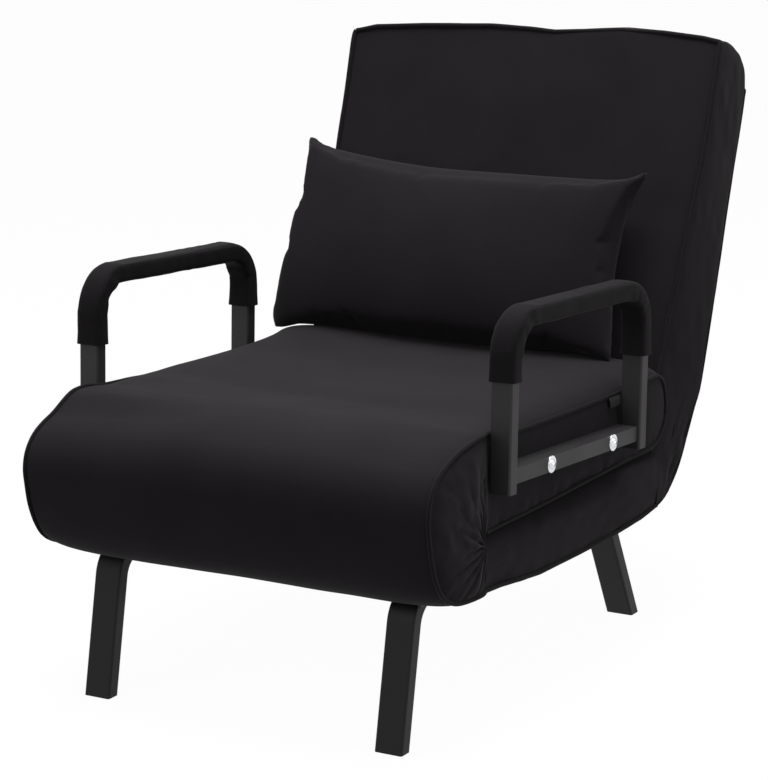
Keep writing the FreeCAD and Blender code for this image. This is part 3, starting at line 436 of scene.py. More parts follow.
def grid_faces(rows, columns, wrap):
    """Four-cornered faces of a grid numbered row by row; wrap joins the last column to the first."""
    across = np.arange(columns if wrap else columns - 1)
    down = np.arange(rows - 1)[:, None]
    one = down * columns + across
    two = down * columns + (across + 1) % columns
    return np.stack([one, two, two + columns, one + columns], axis=2).reshape(-1, 4)


def new_piece(name, points, faces, finish, crease=50, weld=True):
    """A mesh object from points in millimetres: normals outwards, edges over crease degrees sharp.

    A corner that a face names twice counts once, and with weld, points that nearly meet become one.
    """
    mesh = bpy.data.meshes.new(name)
    corners = [list(dict.fromkeys(face)) for face in faces.tolist()]
    mesh.from_pydata((points * MM).tolist(), [], corners)
    work = bmesh.new()
    work.from_mesh(mesh)
    if weld:
        bmesh.ops.remove_doubles(work, verts=work.verts, dist=WELD_WITHIN)
        bmesh.ops.dissolve_degenerate(work, edges=work.edges, dist=WELD_WITHIN / 2)
    bmesh.ops.recalc_face_normals(work, faces=work.faces)
    work.to_mesh(mesh)
    work.free()
    mesh.polygons.foreach_set("use_smooth", np.ones(len(mesh.polygons), bool))
    mesh.set_sharp_from_angle(angle=math.radians(crease))
    mesh.materials.append(finish)
    print(name, len(mesh.polygons), "faces")
    return add_object(name, mesh)


# %% [markdown]
# ## The cushion maker
# One function makes the roll, the seat and the backrest. It takes the side line with its crown, the half
# width at each height, and the line inside that the side panels close to. The panels bulge with their
# distance from the outer line, so that neighbouring cushions meet in one surface.

# %% A padded body from its side line
ROWS_ACROSS = 84
BULGE_REACH = 14.0
MIRRORED = np.array([-1, 1, 1])


def padded_body(name, line, normals, wall_steps, half_of, inside, skin, bulge_of, rows_down=13):
    """A cushion from an open side line with its crown, closed by a straight wall of wall_steps points.

    Across, the line swells by crown * (1 - |u|^9)^0.55, with u from -1 to 1. Each side panel goes in to the
    nearest point of the line inside and bulges by 1 - exp(-distance from the skin / 14 mm). Returns the piece
    and its rows of points between the seams.
    """
    wall = np.linspace(line[-1, :2], line[0, :2], wall_steps + 2)[1:-1]
    ring = np.vstack([line[:, :2], wall])
    crown = np.vstack([normals * line[:, 2:], np.zeros_like(wall)])
    u = np.sin(np.linspace(-1, 1, ROWS_ACROSS) * math.pi / 2)
    swell = np.maximum(1 - np.abs(u) ** 9, 0) ** 0.55
    across = np.dstack([u[:, None] * half_of(ring), ring + crown * swell[:, None, None]])
    target = inside[np.argmin(((ring[:, None] - inside) ** 2).sum(axis=2), axis=1)]
    share = np.linspace(0, 1, rows_down, endpoint=False)[:, None, None]
    side = np.concatenate([target + (ring - target) * share, across[-1:, :, 1:]])
    flat = side.reshape(-1, 2)
    away = np.sqrt(((flat[:, None] - skin) ** 2).sum(axis=2)).min(axis=1)
    out = half_of(flat) + bulge_of(flat) * (1 - np.exp(-away / BULGE_REACH))
    panel = np.dstack([out.reshape(side.shape[:2]), side])
    across[-1] = panel[-1]
    across[0] = panel[-1] * MIRRORED
    points = np.concatenate([panel[:-1] * MIRRORED, across, panel[:-1][::-1]])
    faces = grid_faces(len(points), len(ring), True)
    return new_piece(name, points.reshape(-1, 3), faces, microfibre), across


# %% [markdown]
# ## The folded seat: front roll and upper layer
# In the chair the mattress is folded in two: the lower layer rises round a fat roll at the front and comes
# back as the seat. One side line describes both, from under the roll, up its front, along the seat and
# round the seat's free end back to the gap. It is cut behind the roll, because the roll stays with the
# base while the seat turns over. Each point has its place to the rear, its height and its crown.

# %% Seat and roll
PARTING = -310.0
ABOVE_GAP = 300.0
FOLD_LINE = [
    (-310, 190, 5), (-345, 191, 10), (-380, 195, 11.5), (-404, 203, 11), (-423, 216, 9), (-436, 236, 8),
    (-445, 262, 7), (-450, 290, 7), (-452, 317, 7), (-446, 341, 7), (-430, 361, 7), (-404, 374.5, 6),
    (-374, 383, 4.5), (-342, 387.5, 3), (-310, 388, 3), (-280, 383.5, 5), (-245, 376.5, 9), (-210, 371, 12),
    (-153, 368, 15), (-99, 365, 16), (-43, 363, 16), (14, 361, 17), (73, 359.5, 20), (120, 360.5, 22),
    (150, 362, 22), (176, 361, 20), (192, 351, 11), (200, 333, -2), (202, 311, -9), (196, 290, -9),
    (182, 275, -5), (158, 265, -1), (110, 262, 0), (0, 261.5, 0), (-150, 260.5, 0), (-310, 262, 0)]
ROLL_INSIDE = np.array([[-318.0, 250.0]])
SEAT_INSIDE = np.column_stack([np.linspace(-304, 148, 39), np.linspace(326, 311, 39)])
SEAT_HALF = 292

fold = curve_through(FOLD_LINE, 4.5)
fold_normals = normals_of(fold[:, :2])
crosses = (fold[:-1, 0] < PARTING) & (fold[1:, 0] >= PARTING) & (fold[1:, 1] > ABOVE_GAP)
front_top = np.flatnonzero(crosses)[0]
beyond = (PARTING - fold[front_top, 0]) / (fold[front_top + 1, 0] - fold[front_top, 0])
crossing = fold[front_top] + (fold[front_top + 1] - fold[front_top]) * beyond


def seat_half(points):
    """Half width: the seat is slim between the arms and stands out again before and behind them."""
    return SEAT_HALF + 11 * between(points[:, 0], -284, -328) + 6 * between(points[:, 0], 100, 155)


def seat_bulge(points):
    """The seat's panels are nearly flat beside the arm bars; the roll's end panels are stuffed."""
    return 2.4 + 8.5 * between(points[:, 0], -318, -358)


roll_line = np.vstack([fold[:front_top + 1], crossing])
roll_normals = np.vstack([fold_normals[:front_top + 1], fold_normals[front_top]])
roll_cover, _ = padded_body("roll_cover", roll_line, roll_normals, wall_steps=40, half_of=seat_half,
                            inside=ROLL_INSIDE, skin=fold[:, :2], bulge_of=seat_bulge, rows_down=22)

seat_line = np.vstack([crossing, fold[front_top + 1:]])
seat_normals = fold_normals[front_top:]
seat_cover, _ = padded_body("seat_cover", seat_line, seat_normals, wall_steps=24, half_of=seat_half,
                            inside=SEAT_INSIDE, skin=fold[:, :2], bulge_of=seat_bulge)

# %% [markdown]
# ## Gathers and soft folds
# The end panels of the roll are gathered: the cloth has to turn round half a circle, so it puckers in rays
# from the point where the two layers part. Rays are a wave in the angle, strongest near that point. The
# large faces only carry slow undulations of a millimetre or two, where the filling is uneven.

# %% Soft noise and moving points
TABLE_SIZE = 8192


def soft_noise(points, size, seed):
    """Smooth noise from -1 to 1: random numbers on a lattice of that size, eased between its corners."""
    table = np.random.default_rng(seed).uniform(-1, 1, TABLE_SIZE)
    scaled = points / size
    cell = np.floor(scaled).astype(np.int64)
    f = eased(scaled - cell)
    total = np.zeros(len(points))
    for corner in np.ndindex(2, 2, 2):
        spot = cell + np.array(corner)
        pick = (spot[:, 0] * 73856093 ^ spot[:, 1] * 19349663 ^ spot[:, 2] * 83492791) % TABLE_SIZE
        weight = np.prod(np.where(np.array(corner) == 1, f, 1 - f), axis=1)
        total += table[pick] * weight
    return total


def rows_of(piece, what):
    """A property of a piece's points as rows of three numbers."""
    flat = np.empty(len(piece.data.vertices) * 3, np.float32)
    piece.data.vertices.foreach_get(what, flat)
    return flat.reshape(-1, 3)


def places_of(piece):
    """The points of a piece in millimetres."""
    return rows_of(piece, "co").astype(float) / MM


def move_to(piece, points):
    """Gives a piece new points in millimetres."""
    piece.data.vertices.foreach_set("co", (points * MM).astype(np.float32).ravel())
    piece.data.update()


def press(piece, amount):
    """Moves each point along its normal by an amount in millimetres."""
    move_to(piece, places_of(piece) + rows_of(piece, "normal") * np.asarray(amount)[:, None])


def push_out(piece, amount):
    """Moves each point away from the chair's middle plane by an amount in millimetres."""
    points = places_of(piece)
    points[:, 0] += np.sign(points[:, 0]) * amount
    move_to(piece, points)


# %% [markdown]
# In the photograph the left side is a little lower in front than the right. The covers take that shape
# first, and the gathers and undulations come on top of it.

# %% Gathers on the roll, undulations on the seat
GATHER_POINT = (-315, 250)
ROLL_DROP, SEAT_RISE = 8.5, 8.0


def rays(points, middle, waves, depth, fade, seed):
    """Puckers round a middle point in the side plane: sharp valleys between rounded folds."""
    away = points[:, 1:] - np.asarray(middle)
    distance = np.linalg.norm(away, axis=1)
    angle = np.arctan2(away[:, 1], away[:, 0])
    wander = soft_noise(np.column_stack([angle * 30, distance * 0.5, points[:, 0] * 0]), 12.0, seed)
    wave = np.abs(np.sin(angle * waves / 2 + 1.6 * wander)) ** 0.6 - 0.75
    return depth * wave * np.exp(-distance / fade) * between(distance, 0, 14)


def on_panels(points, half):
    """1 on the side panels and 0 on the faces between them."""
    return between(np.abs(points[:, 0]) - half(points[:, 1:]), -1.2, 0.4)


def undulation(points, size, depth, seed):
    """Slow unevenness of the filling in two sizes."""
    return depth * (soft_noise(points, size, seed) + 0.5 * soft_noise(points, size * 0.45, seed + 1))


def settled(points):
    """The photographed chair's left side: its roll hangs lower in front and its seat edge stands higher."""
    x, y, z = points.T
    left = between(x, -40, -290)
    drop = ROLL_DROP + 5 * between(z, 310, 370) - 7 * between(z, 285, 225)
    moved = points.copy()
    moved[:, 2] -= drop * left * between(y, -338, -398)
    moved[:, 2] += SEAT_RISE * left * between(y, -305, -215) * between(y, 190, 130) * between(z, 300, 340)
    return moved


for piece in (roll_cover, seat_cover):
    move_to(piece, settled(places_of(piece)))
points = places_of(roll_cover)
panel_share = on_panels(points, seat_half)
press(roll_cover, (1 - panel_share) * undulation(points, 120.0, 1.1, 21) * between(points[:, 1], -312, -342))
push_out(roll_cover, panel_share * (rays(points, GATHER_POINT, waves=21, depth=13.0, fade=42, seed=3)
                                    + 1.4 * soft_noise(points, 15.0, 8) + 0.6 * soft_noise(points, 7.0, 10)))
points = places_of(seat_cover)
panel_share = on_panels(points, seat_half)
quiet_front = between(points[:, 1], -308, -278)
press(seat_cover, quiet_front * ((1 - panel_share) * undulation(points, 130.0, 1.3, 31)
                                 + panel_share * 0.5 * soft_noise(points, 22.0, 9)))
low_band = panel_share * quiet_front * np.exp(-((points[:, 2] - 268) / 9) ** 2)
push_out(seat_cover, low_band * 1.6 * soft_noise(points * [0, 1, 0.5], 13.0, 33))
print("roll and seat are settled and gathered")

# %% [markdown]
# ## Piping round the seat and the roll
# A cord covered in the same cloth is sewn into both side seams. Its cloth is made darker than the cover's,
# which is painted shade along the seams. It follows the side line that the cushion was made from, a little
# outside it, and settles with the cushion.

# %% Cords and seams
CORD_SIDES = 8
CORD_RADIUS = 2.9
SEAM_OUT = 0.4


def cord(path, radius):
    """Points and faces of a round cord along a path, closed at both ends, with a radius for each point."""
    way = np.gradient(path, axis=0)
    way = way / np.linalg.norm(way, axis=1, keepdims=True)
    runs_across = np.abs(way[:, :1]) > 0.8
    guide = np.where(runs_across, [[0.0, 0.35, 0.94]], [[1.0, 0.0, 0.0]])
    first = guide - (guide * way).sum(axis=1, keepdims=True) * way
    first = first / np.linalg.norm(first, axis=1, keepdims=True)
    second = np.cross(way, first)
    angle = np.linspace(0, 2 * math.pi, CORD_SIDES, endpoint=False)[:, None]
    ring = first[:, None] * np.cos(angle) + second[:, None] * np.sin(angle)
    points = (path[:, None] + ring * radius[:, None, None]).reshape(-1, 3)
    faces = [grid_faces(len(path), CORD_SIDES, True)]
    count = len(points)
    for start, centre in ((0, count), (count - CORD_SIDES, count + 1)):
        rim = start + np.arange(CORD_SIDES)
        middle = np.full(CORD_SIDES, centre)
        faces.append(np.stack([middle, rim, np.roll(rim, -1), middle], axis=1))
    return np.vstack([points, path[:1], path[-1:]]), np.vstack(faces)


def piping(name, paths, radius=CORD_RADIUS):
    """One piece that holds several runs of piping, each a cord a little uneven in thickness."""
    points, faces, count = [], [], 0
    for path in paths:
        some, quads = cord(path, radius * (1 + 0.06 * soft_noise(path, 18.0, 5)))
        points.append(some)
        faces.append(quads + count)
        count += len(some)
    # The cord takes the darker piping cloth, which is painted shade along the seams.
    piece = new_piece(name, np.vstack(points), np.vstack(faces), piping_shade_cloth, crease=180, weld=False)
    return piece


def seam_path(line, normals, half, lift, sign):
    """The seam of a side line at one side of the chair, lifted along its normals."""
    return np.column_stack([sign * (half(line[:, :2]) + SEAM_OUT), line[:, :2] + normals * lift])


def seat_seams(line, normals, lift):
    """Both seams of the roll's or the seat's side line."""
    return [settled(seam_path(line, normals, seat_half, lift, sign)) for sign in (1, -1)]


roll_piping = piping("roll_piping", seat_seams(roll_line, roll_normals, 1.5))
seat_piping = piping("seat_piping", seat_seams(seat_line[:-2], seat_normals[:-2], 0.8))

# %% [markdown]
# ## The lower layer
# Between the leg loops the lower layer is a hood: padding above the slats, and side bands that hang down
# past the frame to hide it. Its cross line runs from the rim on one side over the top to the other, and
# back inside the pocket that holds the frame.

# %% Lower cushion
OUTER_CROSS = [(-262, 178.5), (-276, 176.5), (-290, 178.5), (-297.5, 185), (-301, 200), (-302.4, 220),
               (-301, 238), (-296, 249), (-286, 254.5), (-262, 257.6), (-100, 258), (0, 258)]
INNER_CROSS = [(-257, 181), (-256.5, 192), (-255, 206.6), (-120, 206.6), (0, 206.6)]
LOW_AT = [-310, -274, -221, -168, -113, -56, 0, 60, 125, 152, 171]
LOW_BY = [6.7, 4.2, -2.3, -7.8, -9.3, -10.9, -11.6, -11.3, -9.5, -6.7, -4.3]
TOP_AT = [-310, -240, -166, -60, 61, 130, 171]
TOP_BY = [0, -2.0, -5.0, -5.5, -4.0, -1.5, 0]
RIM_X, RIM_Z = 298.6, 182.2


def at_shares(line, shares):
    """Points of an evenly stepped line at shares of its length, from 0 to 1."""
    along = np.linspace(0, 1, len(line))
    return np.column_stack([np.interp(shares, along, column) for column in line.T])


def with_mirror(half, middle):
    """A cross line over the whole width, from its left half and its middle point."""
    return np.vstack([half, [middle], (half * [-1, 1])[::-1]])


outer_half = curve_through(OUTER_CROSS, 6.0, False)
inner_half = at_shares(curve_through(INNER_CROSS, 6.0, False), np.linspace(0, 1, len(outer_half)))
outer_cross = with_mirror(outer_half, OUTER_CROSS[-1])
inner_cross = with_mirror(inner_half, INNER_CROSS[-1])
cross_ring = np.vstack([outer_cross, inner_cross[::-1]])
across, height = cross_ring.T
along = np.linspace(PARTING - 3.0, 175.0, 96)
low_line = np.interp(along, LOW_AT, LOW_BY)
top_line = np.interp(along, TOP_AT, TOP_BY)
level = (height + low_line[:, None] * between(height, 206, 184)
         + top_line[:, None] * between(height, 230, 252) * between(np.abs(across), 150, 270))
hood = np.dstack(np.broadcast_arrays(across, along[:, None], level))
first = np.arange(len(outer_cross) - 1)
mate = len(cross_ring) - 1 - first
end_faces = np.stack([first, first + 1, mate - 1, mate], axis=1)
hood_faces = np.vstack([grid_faces(len(along), len(cross_ring), True), end_faces,
                        end_faces + (len(along) - 1) * len(cross_ring)])
lower_cover = new_piece("lower_cover", hood.reshape(-1, 3), hood_faces, microfibre)
points = places_of(lower_cover)
on_sides = between(np.abs(points[:, 0]), 290, 298)
keep_ends = between(points[:, 1], -312, -298) * between(points[:, 1], 173, 159)
long_folds = (soft_noise(points * [1, 0.35, 1.0], 24.0, 12)
              + 0.6 * soft_noise(points * [1, 0.5, 1.3], 13.0, 14))
press(lower_cover, on_sides * keep_ends * 1.9 * long_folds)

rim = np.column_stack([np.full(len(along), RIM_X), along, RIM_Z + low_line])
lower_piping = piping("lower_piping", [rim, rim * MIRRORED])

# %% [markdown]
# ## The backrest and the bend behind the seat
# Front and rear faces are joined by a boxing strip, with piping round both faces. The cover goes on below
# the seat into the lower layer, so the side line starts in the crease, climbs the front, turns over the
# top and comes down the rear and round the bend. Points are given in the backrest's own axes: how far
# behind its front face, and how far up along it. Those of the bend are places in the side plane.

# %% Backrest
LEAN = math.radians(20.2)
CREASE = np.array([171.0, 260.0])
REARWARDS = np.array([math.cos(LEAN), -math.sin(LEAN)])
UPWARDS = np.array([math.sin(LEAN), math.cos(LEAN)])
FRONT_LINE = [(0.4, -1, 0), (0.8, 40, 2), (3, 110, 5), (6, 200, 7), (7.5, 326, 8), (5.5, 420, 7), (2, 500, 5),
              (-1, 550, 2), (-2, 571, 0)]
OVER_LINE = [(-2, 571, 0), (24, 576, 3), (56, 573, 5), (84, 561, 5), (101, 541, 5), (107.5, 515, 4),
             (109.7, 414, 6), (110.5, 300, 6), (110.5, 176, 5), (109, 100, 4)]
BEND_LINE = [(295, 297.5, 4), (273.5, 262, 3), (257.5, 237, 3), (238.5, 213.5, 2), (211, 192.5, 1),
             (185, 181, 0), (171.4, 178.6, 0)]
FRONT_HIGH = [-60, 30, 120, 160, 250, 400, 500, 600]
FRONT_HALF = [299, 286, 281, 284, 291, 299, 300, 300]
REAR_HIGH = [-60, 300, 420, 600]
REAR_HALF = [302, 301, 298.5, 297.5]
BACK_THICK = 110
BACK_BULGE = 3.0


def in_chair(deep, high):
    """Side plane point from the backrest's own axes."""
    return CREASE + np.multiply.outer(deep, REARWARDS) + np.multiply.outer(high, UPWARDS)


def placed(line):
    """A line in the backrest's axes as side plane points with their crown."""
    deep, high, crown = np.array(line, float).T
    return np.column_stack([in_chair(deep, high), crown])


def up_the_back(points):
    """Height along the backrest of side plane points."""
    return (points - CREASE) @ UPWARDS


def back_half(points):
    """Half width of the backrest: its front face is drawn in above the seat, its rear face is straight."""
    high = up_the_back(points)
    behind = np.clip((points - CREASE) @ REARWARDS / BACK_THICK, 0, 1)
    front = np.interp(high, FRONT_HIGH, FRONT_HALF)
    rear = np.interp(high, REAR_HIGH, REAR_HALF)
    return front + (rear - front) * behind


front_run = curve_through(placed(FRONT_LINE), 5.0)
over_run = curve_through(np.vstack([placed(OVER_LINE), BEND_LINE]), 5.0)
back_line = np.vstack([front_run[:-1], over_run])
back_normals = np.vstack([normals_of(front_run[:, :2])[:-1], normals_of(over_run[:, :2])])
back_inside = np.vstack([[[196.0, 226.0], [206.0, 234.0], [216.0, 244.0], [226.0, 258.0]],
                         in_chair(np.full(38, 56.0), np.linspace(30, 524, 38))])
back_cover, back_rows = padded_body("back_cover", back_line, back_normals, wall_steps=12, half_of=back_half,
                                    inside=back_inside, skin=back_line[:, :2],
                                    bulge_of=lambda points: BACK_BULGE, rows_down=12)

# %% [markdown]
# The top edge isn't straight: the filling stands up in two shoulders with a dip between them. The same
# shift is used for the cover and for its piping, so that they stay together.

# %% Shoulders, folds and piping of the backrest
TOP_X = [-300, -290, -265, -183, -66, 0, 38, 145, 208, 271, 300]
TOP_RISE = [-7, -5, 1, 6, 10, 8, 5, 12, 11, 6, 1]
LEAN_RIGHT, LEFT_IN = 3.5, 5.0
REAR_SEAM_HIGH, REAR_SEAM_IN = 530, 2.4


def with_shoulders(points):
    """Lifts the top of the backrest by the shoulders' height at each x, and leans it to the right."""
    rise = np.interp(points[:, 0], TOP_X, TOP_RISE)
    high = up_the_back(points[:, 1:])
    lifted = points.copy()
    lifted[:, 1:] += (rise * between(high, 470, 565))[:, None] * UPWARDS
    lifted[:, 0] += (LEAN_RIGHT * between(high, 300, 520)
                     + LEFT_IN * between(points[:, 0], 0, -250) * between(high, 60, 140))
    return lifted


points = with_shoulders(places_of(back_cover))
move_to(back_cover, points)
panel_share = on_panels(points, back_half)
behind = (points[:, 1:] - CREASE) @ REARWARDS
low_bend = between(points[:, 2], 330, 240) * between(behind, 30, 70)
slanting = soft_noise(np.column_stack([points[:, 0] * 0.1, points[:, 1] - 0.8 * points[:, 2],
                                       0.25 * (points[:, 1] + points[:, 2])]), 11.0, 16)
from_edge = between(back_half(points[:, 1:]) - np.abs(points[:, 0]), 0, 40)
press(back_cover, (1 - panel_share) * from_edge * undulation(points, 130.0, 2.0, 41)
      + panel_share * (0.9 * soft_noise(points * [1, 1, 0.5], 15.0, 17) + 4.5 * low_bend * slanting))


def smoothed(path, times=6):
    """A path whose corners are rounded by averaging neighbours, ends kept."""
    for _ in range(times):
        path = np.vstack([path[:1], (path[:-2] + 2 * path[1:-1] + path[2:]) / 4, path[-1:]])
    return path


top_at = len(front_run) - 1
front_side = seam_path(front_run, back_normals[:top_at + 1], back_half, 2.2, 1)[3:-1]
front_loop = np.vstack([front_side, back_rows[::-1, top_at], (front_side * MIRRORED)[::-1]])
over_high = up_the_back(over_run[:len(over_run) // 2, :2])
rear_from = top_at + int(np.argmin(np.abs(over_high - REAR_SEAM_HIGH)))
rear_seam_in = [REAR_SEAM_IN, 0, 0]
rear_side = seam_path(back_line[rear_from:], back_normals[rear_from:], back_half, 0.0, 1) - rear_seam_in
rear_loop = np.vstack([rear_side[::-1], back_rows[::-1, rear_from][1:-1], rear_side * MIRRORED])
back_piping = piping("back_piping", [with_shoulders(smoothed(loop)) for loop in (front_loop, rear_loop)],
                     radius=3.3)

# %% [markdown]
# ## The pillow
# A loose pillow leans on the backrest. Its four edges are drawn in between pointed corners, so its outline
# is given by four curves, and the surface between them is the usual blend of opposite edges. The filling's
# thickness falls to the seam all round, faster at the corners. Cloth simulation then lets the cloth swell a
# little and find its own small folds. The edges are given across the chair and up along the backrest.

# %% Pillow
PILLOW_MIDDLE = -60.0
PILLOW_HALF_THICK = 51.0
PILLOW_COLUMNS, PILLOW_ROWS = 97, 57
BOTTOM_EDGE = [(-307, 101), (-240, 106), (-150, 103), (-40, 102), (80, 103), (180, 107), (238, 103)]
TOP_EDGE = [(-303, 393), (-254, 381), (-198, 373), (-124, 366), (-65, 363), (32, 363), (112, 363), (182, 364),
            (222, 368), (250, 377)]
LEFT_EDGE = [(-307, 101), (-314, 125), (-313, 155), (-312, 215), (-309, 267), (-303, 305), (-301, 352),
             (-303, 393)]
RIGHT_EDGE = [(238, 103), (234, 160), (231, 230), (233, 290), (238, 330), (250, 377)]


def pillow_side(way):
    """One face: the blend of the four edges, as thick as ((1 - u^2) (1 - v^2))^0.43 and fuller low down.

    Blend: opposite edges are mixed both ways, and the mix of the four corners is taken off once.
    """
    u = (1 - np.cos(np.linspace(0, 1, PILLOW_COLUMNS) * math.pi)) / 2
    v = (1 - np.cos(np.linspace(0, 1, PILLOW_ROWS) * math.pi)) / 2
    low, top = (at_shares(curve_through(edge, 2.0), u) for edge in (BOTTOM_EDGE, TOP_EDGE))
    left, right = (at_shares(curve_through(edge, 2.0), v) for edge in (LEFT_EDGE, RIGHT_EDGE))
    U, V = (grid[:, :, None] for grid in np.meshgrid(u, v))
    flat = ((1 - V) * low[None] + V * top[None] + (1 - U) * left[:, None] + U * right[:, None]
            - (1 - U) * (1 - V) * low[0] - U * (1 - V) * low[-1] - (1 - U) * V * top[0] - U * V * top[-1])
    across, upward = 2 * U[:, :, 0] - 1, 2 * V[:, :, 0] - 1
    thick = (np.maximum(1 - across**2, 0) ** 0.5 * np.maximum(1 - upward**2, 0) ** 0.5) ** 0.86
    deep = PILLOW_MIDDLE + way * PILLOW_HALF_THICK * thick * (1 - 0.10 * upward)
    return np.dstack([flat[:, :, 0], in_chair(deep, flat[:, :, 1])]).reshape(-1, 3)


quads = grid_faces(PILLOW_ROWS, PILLOW_COLUMNS, False)
pillow_faces = np.vstack([quads, quads[:, ::-1] + PILLOW_COLUMNS * PILLOW_ROWS])
pillow_points = np.vstack([pillow_side(-1), pillow_side(1)])
pillow_cover = new_piece("pillow_cover", pillow_points, pillow_faces, microfibre, crease=75)

# %% [markdown]
# For the simulation the two faces become one even mesh. Air pressure swells it without gravity, and no
# point may move further than the cap, so that the measured outline holds.

# %% Cloth simulation
CLOTH = {"quality": 6, "mass": 0.3, "tension_stiffness": 12, "compression_stiffness": 12,
         "bending_stiffness": 0.35, "shrink_min": -0.03, "use_pressure": True}


def swollen(piece, voxel, pressure, cap, frames=20):
    """Swells a piece by a short cloth simulation under pressure, no point by more than cap millimetres."""
    bpy.context.view_layer.objects.active = piece
    remesh = piece.modifiers.new("even_mesh", "REMESH")
    remesh.mode = "VOXEL"
    remesh.voxel_size = voxel * MM
    remesh.use_smooth_shade = True
    evaluated = piece.evaluated_get(bpy.context.evaluated_depsgraph_get())
    even = bpy.data.meshes.new_from_object(evaluated)
    piece.modifiers.remove(remesh)
    even.materials.clear()
    even.materials.append(piece.data.materials[0])
    piece.data = even
    start = places_of(piece)
    cloth = piece.modifiers.new("filling", "CLOTH")
    for setting, value in CLOTH.items():
        setattr(cloth.settings, setting, value)
    cloth.settings.uniform_pressure_force = pressure
    cloth.settings.effector_weights.gravity = 0
    cloth.point_cache.frame_start = 1
    cloth.point_cache.frame_end = frames
    for step in range(1, frames + 1):
        bpy.context.scene.frame_set(step)
    moved = places_of(piece.evaluated_get(bpy.context.evaluated_depsgraph_get())) - start
    far = np.linalg.norm(moved, axis=1, keepdims=True)
    piece.modifiers.remove(cloth)
    bpy.context.scene.frame_set(1)
    move_to(piece, start + moved * np.minimum(1, cap / np.maximum(far, 1e-6)))
    piece.data.polygons.foreach_set("use_smooth", np.ones(len(piece.data.polygons), bool))
    print(piece.name, "moved up to %.1f mm in the simulation" % far.max())


swollen(pillow_cover, voxel=5.0, pressure=3.5, cap=7.0)

# %% [markdown]
# ## Arm sleeves
# A padded tube of cloth is pulled over the top of each arm loop and down both bends. It is a little looser
# than the steel, so it has small cross folds inside the bends and its hems flare. The section is a rounded
# rectangle that follows the loop's middle line, out along the outside and back along the inside. The loop's
# sizes are in the seat's own axes: back along the seat and up from it.

# %% The sleeve's line and section
SEAT_TILT = math.radians(3.9)
POST_FOOT = np.array([-300.5, 313.0])
SEAT_BACK_WAY = np.array([math.cos(SEAT_TILT), -math.sin(SEAT_TILT)])
SEAT_UP_WAY = np.array([math.sin(SEAT_TILT), math.cos(SEAT_TILT)])
ARM_X, ARM_TOP, ARM_FRONT, ARM_REAR, ARM_BEND = 315.0, 218.0, 10.0, 370.0, 50.0
HEMS = {"right": (141.0, 127.0), "left": (127.0, 137.0)}
SECTION_POINTS = 44
SECTION_POWER = 0.42
OUTER_HALVES, INNER_HALVES, SKIN_HALVES = (18.3, 13.3), (15.4, 10.4), (18.6, 13.6)
BENDS_AT, BEND_SPREAD = (30, 350), 34
HEM_FLARE = 0.9


def arm_route(pitch, hem_front, hem_rear):
    """Middle line of the sleeve in the seat's axes: up the front post, along the top, down the rear."""
    bend = np.linspace(0, math.pi / 2, 19)
    front = np.column_stack([ARM_FRONT + ARM_BEND * (1 - np.cos(bend)),
                             ARM_TOP - ARM_BEND * (1 - np.sin(bend))])
    rear = np.column_stack([ARM_REAR + ARM_FRONT - front[::-1, 0], front[::-1, 1]])
    line = np.vstack([[[ARM_FRONT, hem_front]], front, rear, [[ARM_REAR, hem_rear]]])
    length = np.concatenate([[0], np.cumsum(np.linalg.norm(np.diff(line, axis=0), axis=1))])
    stops = np.linspace(0, length[-1], int(length[-1] / pitch) + 1)
    return np.column_stack([np.interp(stops, length, column) for column in line.T]), stops


def rounded(wave):
    """A cosine or sine raised to a power less than 1, which turns a circle towards a square."""
    return np.sign(wave) * np.abs(wave) ** SECTION_POWER


angle = np.linspace(0, 2 * math.pi, SECTION_POINTS, endpoint=False)
section = np.column_stack([rounded(np.cos(angle)), rounded(np.sin(angle))])


def sleeve_rows(route, run_length, halves):
    """Rows of the section along the route, wider towards the hems; halves are its half width and depth."""
    from_hem = np.minimum(run_length, run_length[-1] - run_length)
    wide, deep = (half + HEM_FLARE * np.exp(-from_hem / 9.0) for half in halves)
    x = ARM_X + section[:, 0] * wide[:, None]
    plane = route[:, None] + normals_of(route)[:, None] * (section[:, 1] * deep[:, None])[:, :, None]
    side = POST_FOOT + plane[:, :, :1] * SEAT_BACK_WAY + plane[:, :, 1:] * SEAT_UP_WAY
    return np.dstack([x, side])


# %% [markdown]
# Both sleeves come from the same rows, with other hems. Only their outer skin is pressed: slow dents all
# over, and sharper folds in the two bends.

# %% Sleeves
for word, sign in (("right", 1), ("left", -1)):
    route, run_length = arm_route(3.5, *HEMS[word])
    outside = sleeve_rows(route, run_length, OUTER_HALVES)
    inside = sleeve_rows(route, run_length, INNER_HALVES)[::-1]
    both = np.concatenate([outside, inside, outside[:1]])
    sleeve = new_piece("arm_sleeve_cover_" + word, both.reshape(-1, 3) * [sign, 1, 1],
                       grid_faces(len(both), SECTION_POINTS, True), sleeve_cloth, crease=60)
    points = places_of(sleeve)
    u = (points[:, 1:] - POST_FOOT) @ SEAT_BACK_WAY
    w = (points[:, 1:] - POST_FOOT) @ SEAT_UP_WAY
    to_middle = np.minimum(np.minimum(u - ARM_FRONT, ARM_REAR - u), ARM_TOP - w)
    sideways = np.abs(np.abs(points[:, 0]) - ARM_X)
    shell = np.maximum(sideways / SKIN_HALVES[0], np.abs(to_middle) / SKIN_HALVES[1])
    outermost = between(shell, 0.88, 0.94)
    to_bend = np.abs(u[:, None] - BENDS_AT).min(axis=1)
    near_bend = np.exp(-((to_bend / BEND_SPREAD) ** 2)) * between(w, 150, 180)
    cross_folds = soft_noise(np.column_stack([points[:, 0] * 0.25, u - w, (u + w) * 0.6]), 9.0, 51)
    slow = soft_noise(points, 42.0, 52 if sign > 0 else 54)
    fine = soft_noise(points, 12.0, 55)
    press(sleeve, outermost * (0.7 * slow + 1.5 * near_bend * cross_folds + 0.35 * fine))
    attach(sleeve, "foot_section")
    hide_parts("arm_sleeve_" + word)

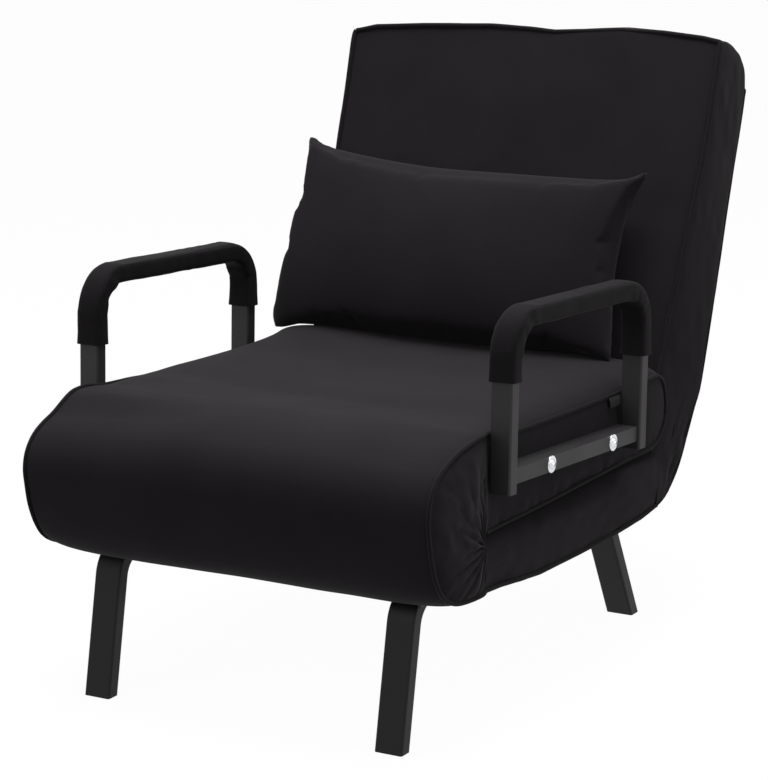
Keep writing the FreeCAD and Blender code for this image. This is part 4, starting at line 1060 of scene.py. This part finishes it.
# %% [markdown]
# ## The sewn tab
# A small tape tab is sewn into the seat's side seam in front of the rear post. It is left bare. It is a
# strip of tape that stands out of the seam and hangs a little.

# %% Side tab
TAB_COLUMNS, TAB_ROWS = 13, 9
TAB_THICK = 0.7

along, down = np.meshgrid(np.linspace(0, 1, TAB_COLUMNS), np.linspace(0, 1, TAB_ROWS))
tab_x = 295.8 + 2.4 * np.sin(down * 2.4) + 0.5 * np.sin(along * 5)
tab_y = 37 + 33 * along
tab_z = 359.5 - 13 * down - 1.2 * along
front = np.dstack([tab_x, tab_y, tab_z]).reshape(-1, 3)
rear = front - np.array([TAB_THICK, 0, 0])
quads = grid_faces(TAB_ROWS, TAB_COLUMNS, False)
numbers = np.arange(TAB_ROWS * TAB_COLUMNS).reshape(TAB_ROWS, TAB_COLUMNS)
edge_loop = np.concatenate([numbers[0], numbers[1:, -1], numbers[-1, -2::-1], numbers[-2:0:-1, 0]])
next_loop = np.roll(edge_loop, -1)
rim_faces = np.stack([edge_loop, next_loop, next_loop + len(front), edge_loop + len(front)], axis=1)
side_tab = new_piece("side_tab", np.vstack([front, rear]),
                     np.vstack([quads, quads[:, ::-1] + len(front), rim_faces]), label_cloth)
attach(side_tab, "foot_section")
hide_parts("fabric_label")

# %% [markdown]
# ## What moves with what
# The seat turns over with the foot section. The roll can't follow it, so it stays with the base and gets a
# mesh of its own. The backrest's cover and its piping are baked where they stand. The pillow is loose and has
# a body of its own.

for piece in (roll_cover, lower_cover, roll_piping, lower_piping):
    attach(piece, "base")
for piece in (roll_cover, roll_piping):
    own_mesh(piece)
for piece in (seat_cover, seat_piping):
    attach(piece, "foot_section")
for piece in (back_cover, back_piping):
    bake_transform(piece)
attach(pillow_cover, "pillow")
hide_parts("front_roll")
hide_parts("lower_cushion")
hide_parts("seat_cushion")
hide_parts("back_cushion", "rear_bend")
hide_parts("pillow")

# %% [markdown]
# ## Sizes and the end
# The boxes round the CAD part and round the dressed chair are written down side by side. Only the covers may
# stand a little past the CAD.

# %% Sizes and the end
shown_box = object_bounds()
for title, box in (("CAD box", cad_box), ("visual box", shown_box)):
    print(title, [tuple(round(v, 4) for v in corner) for corner in box])
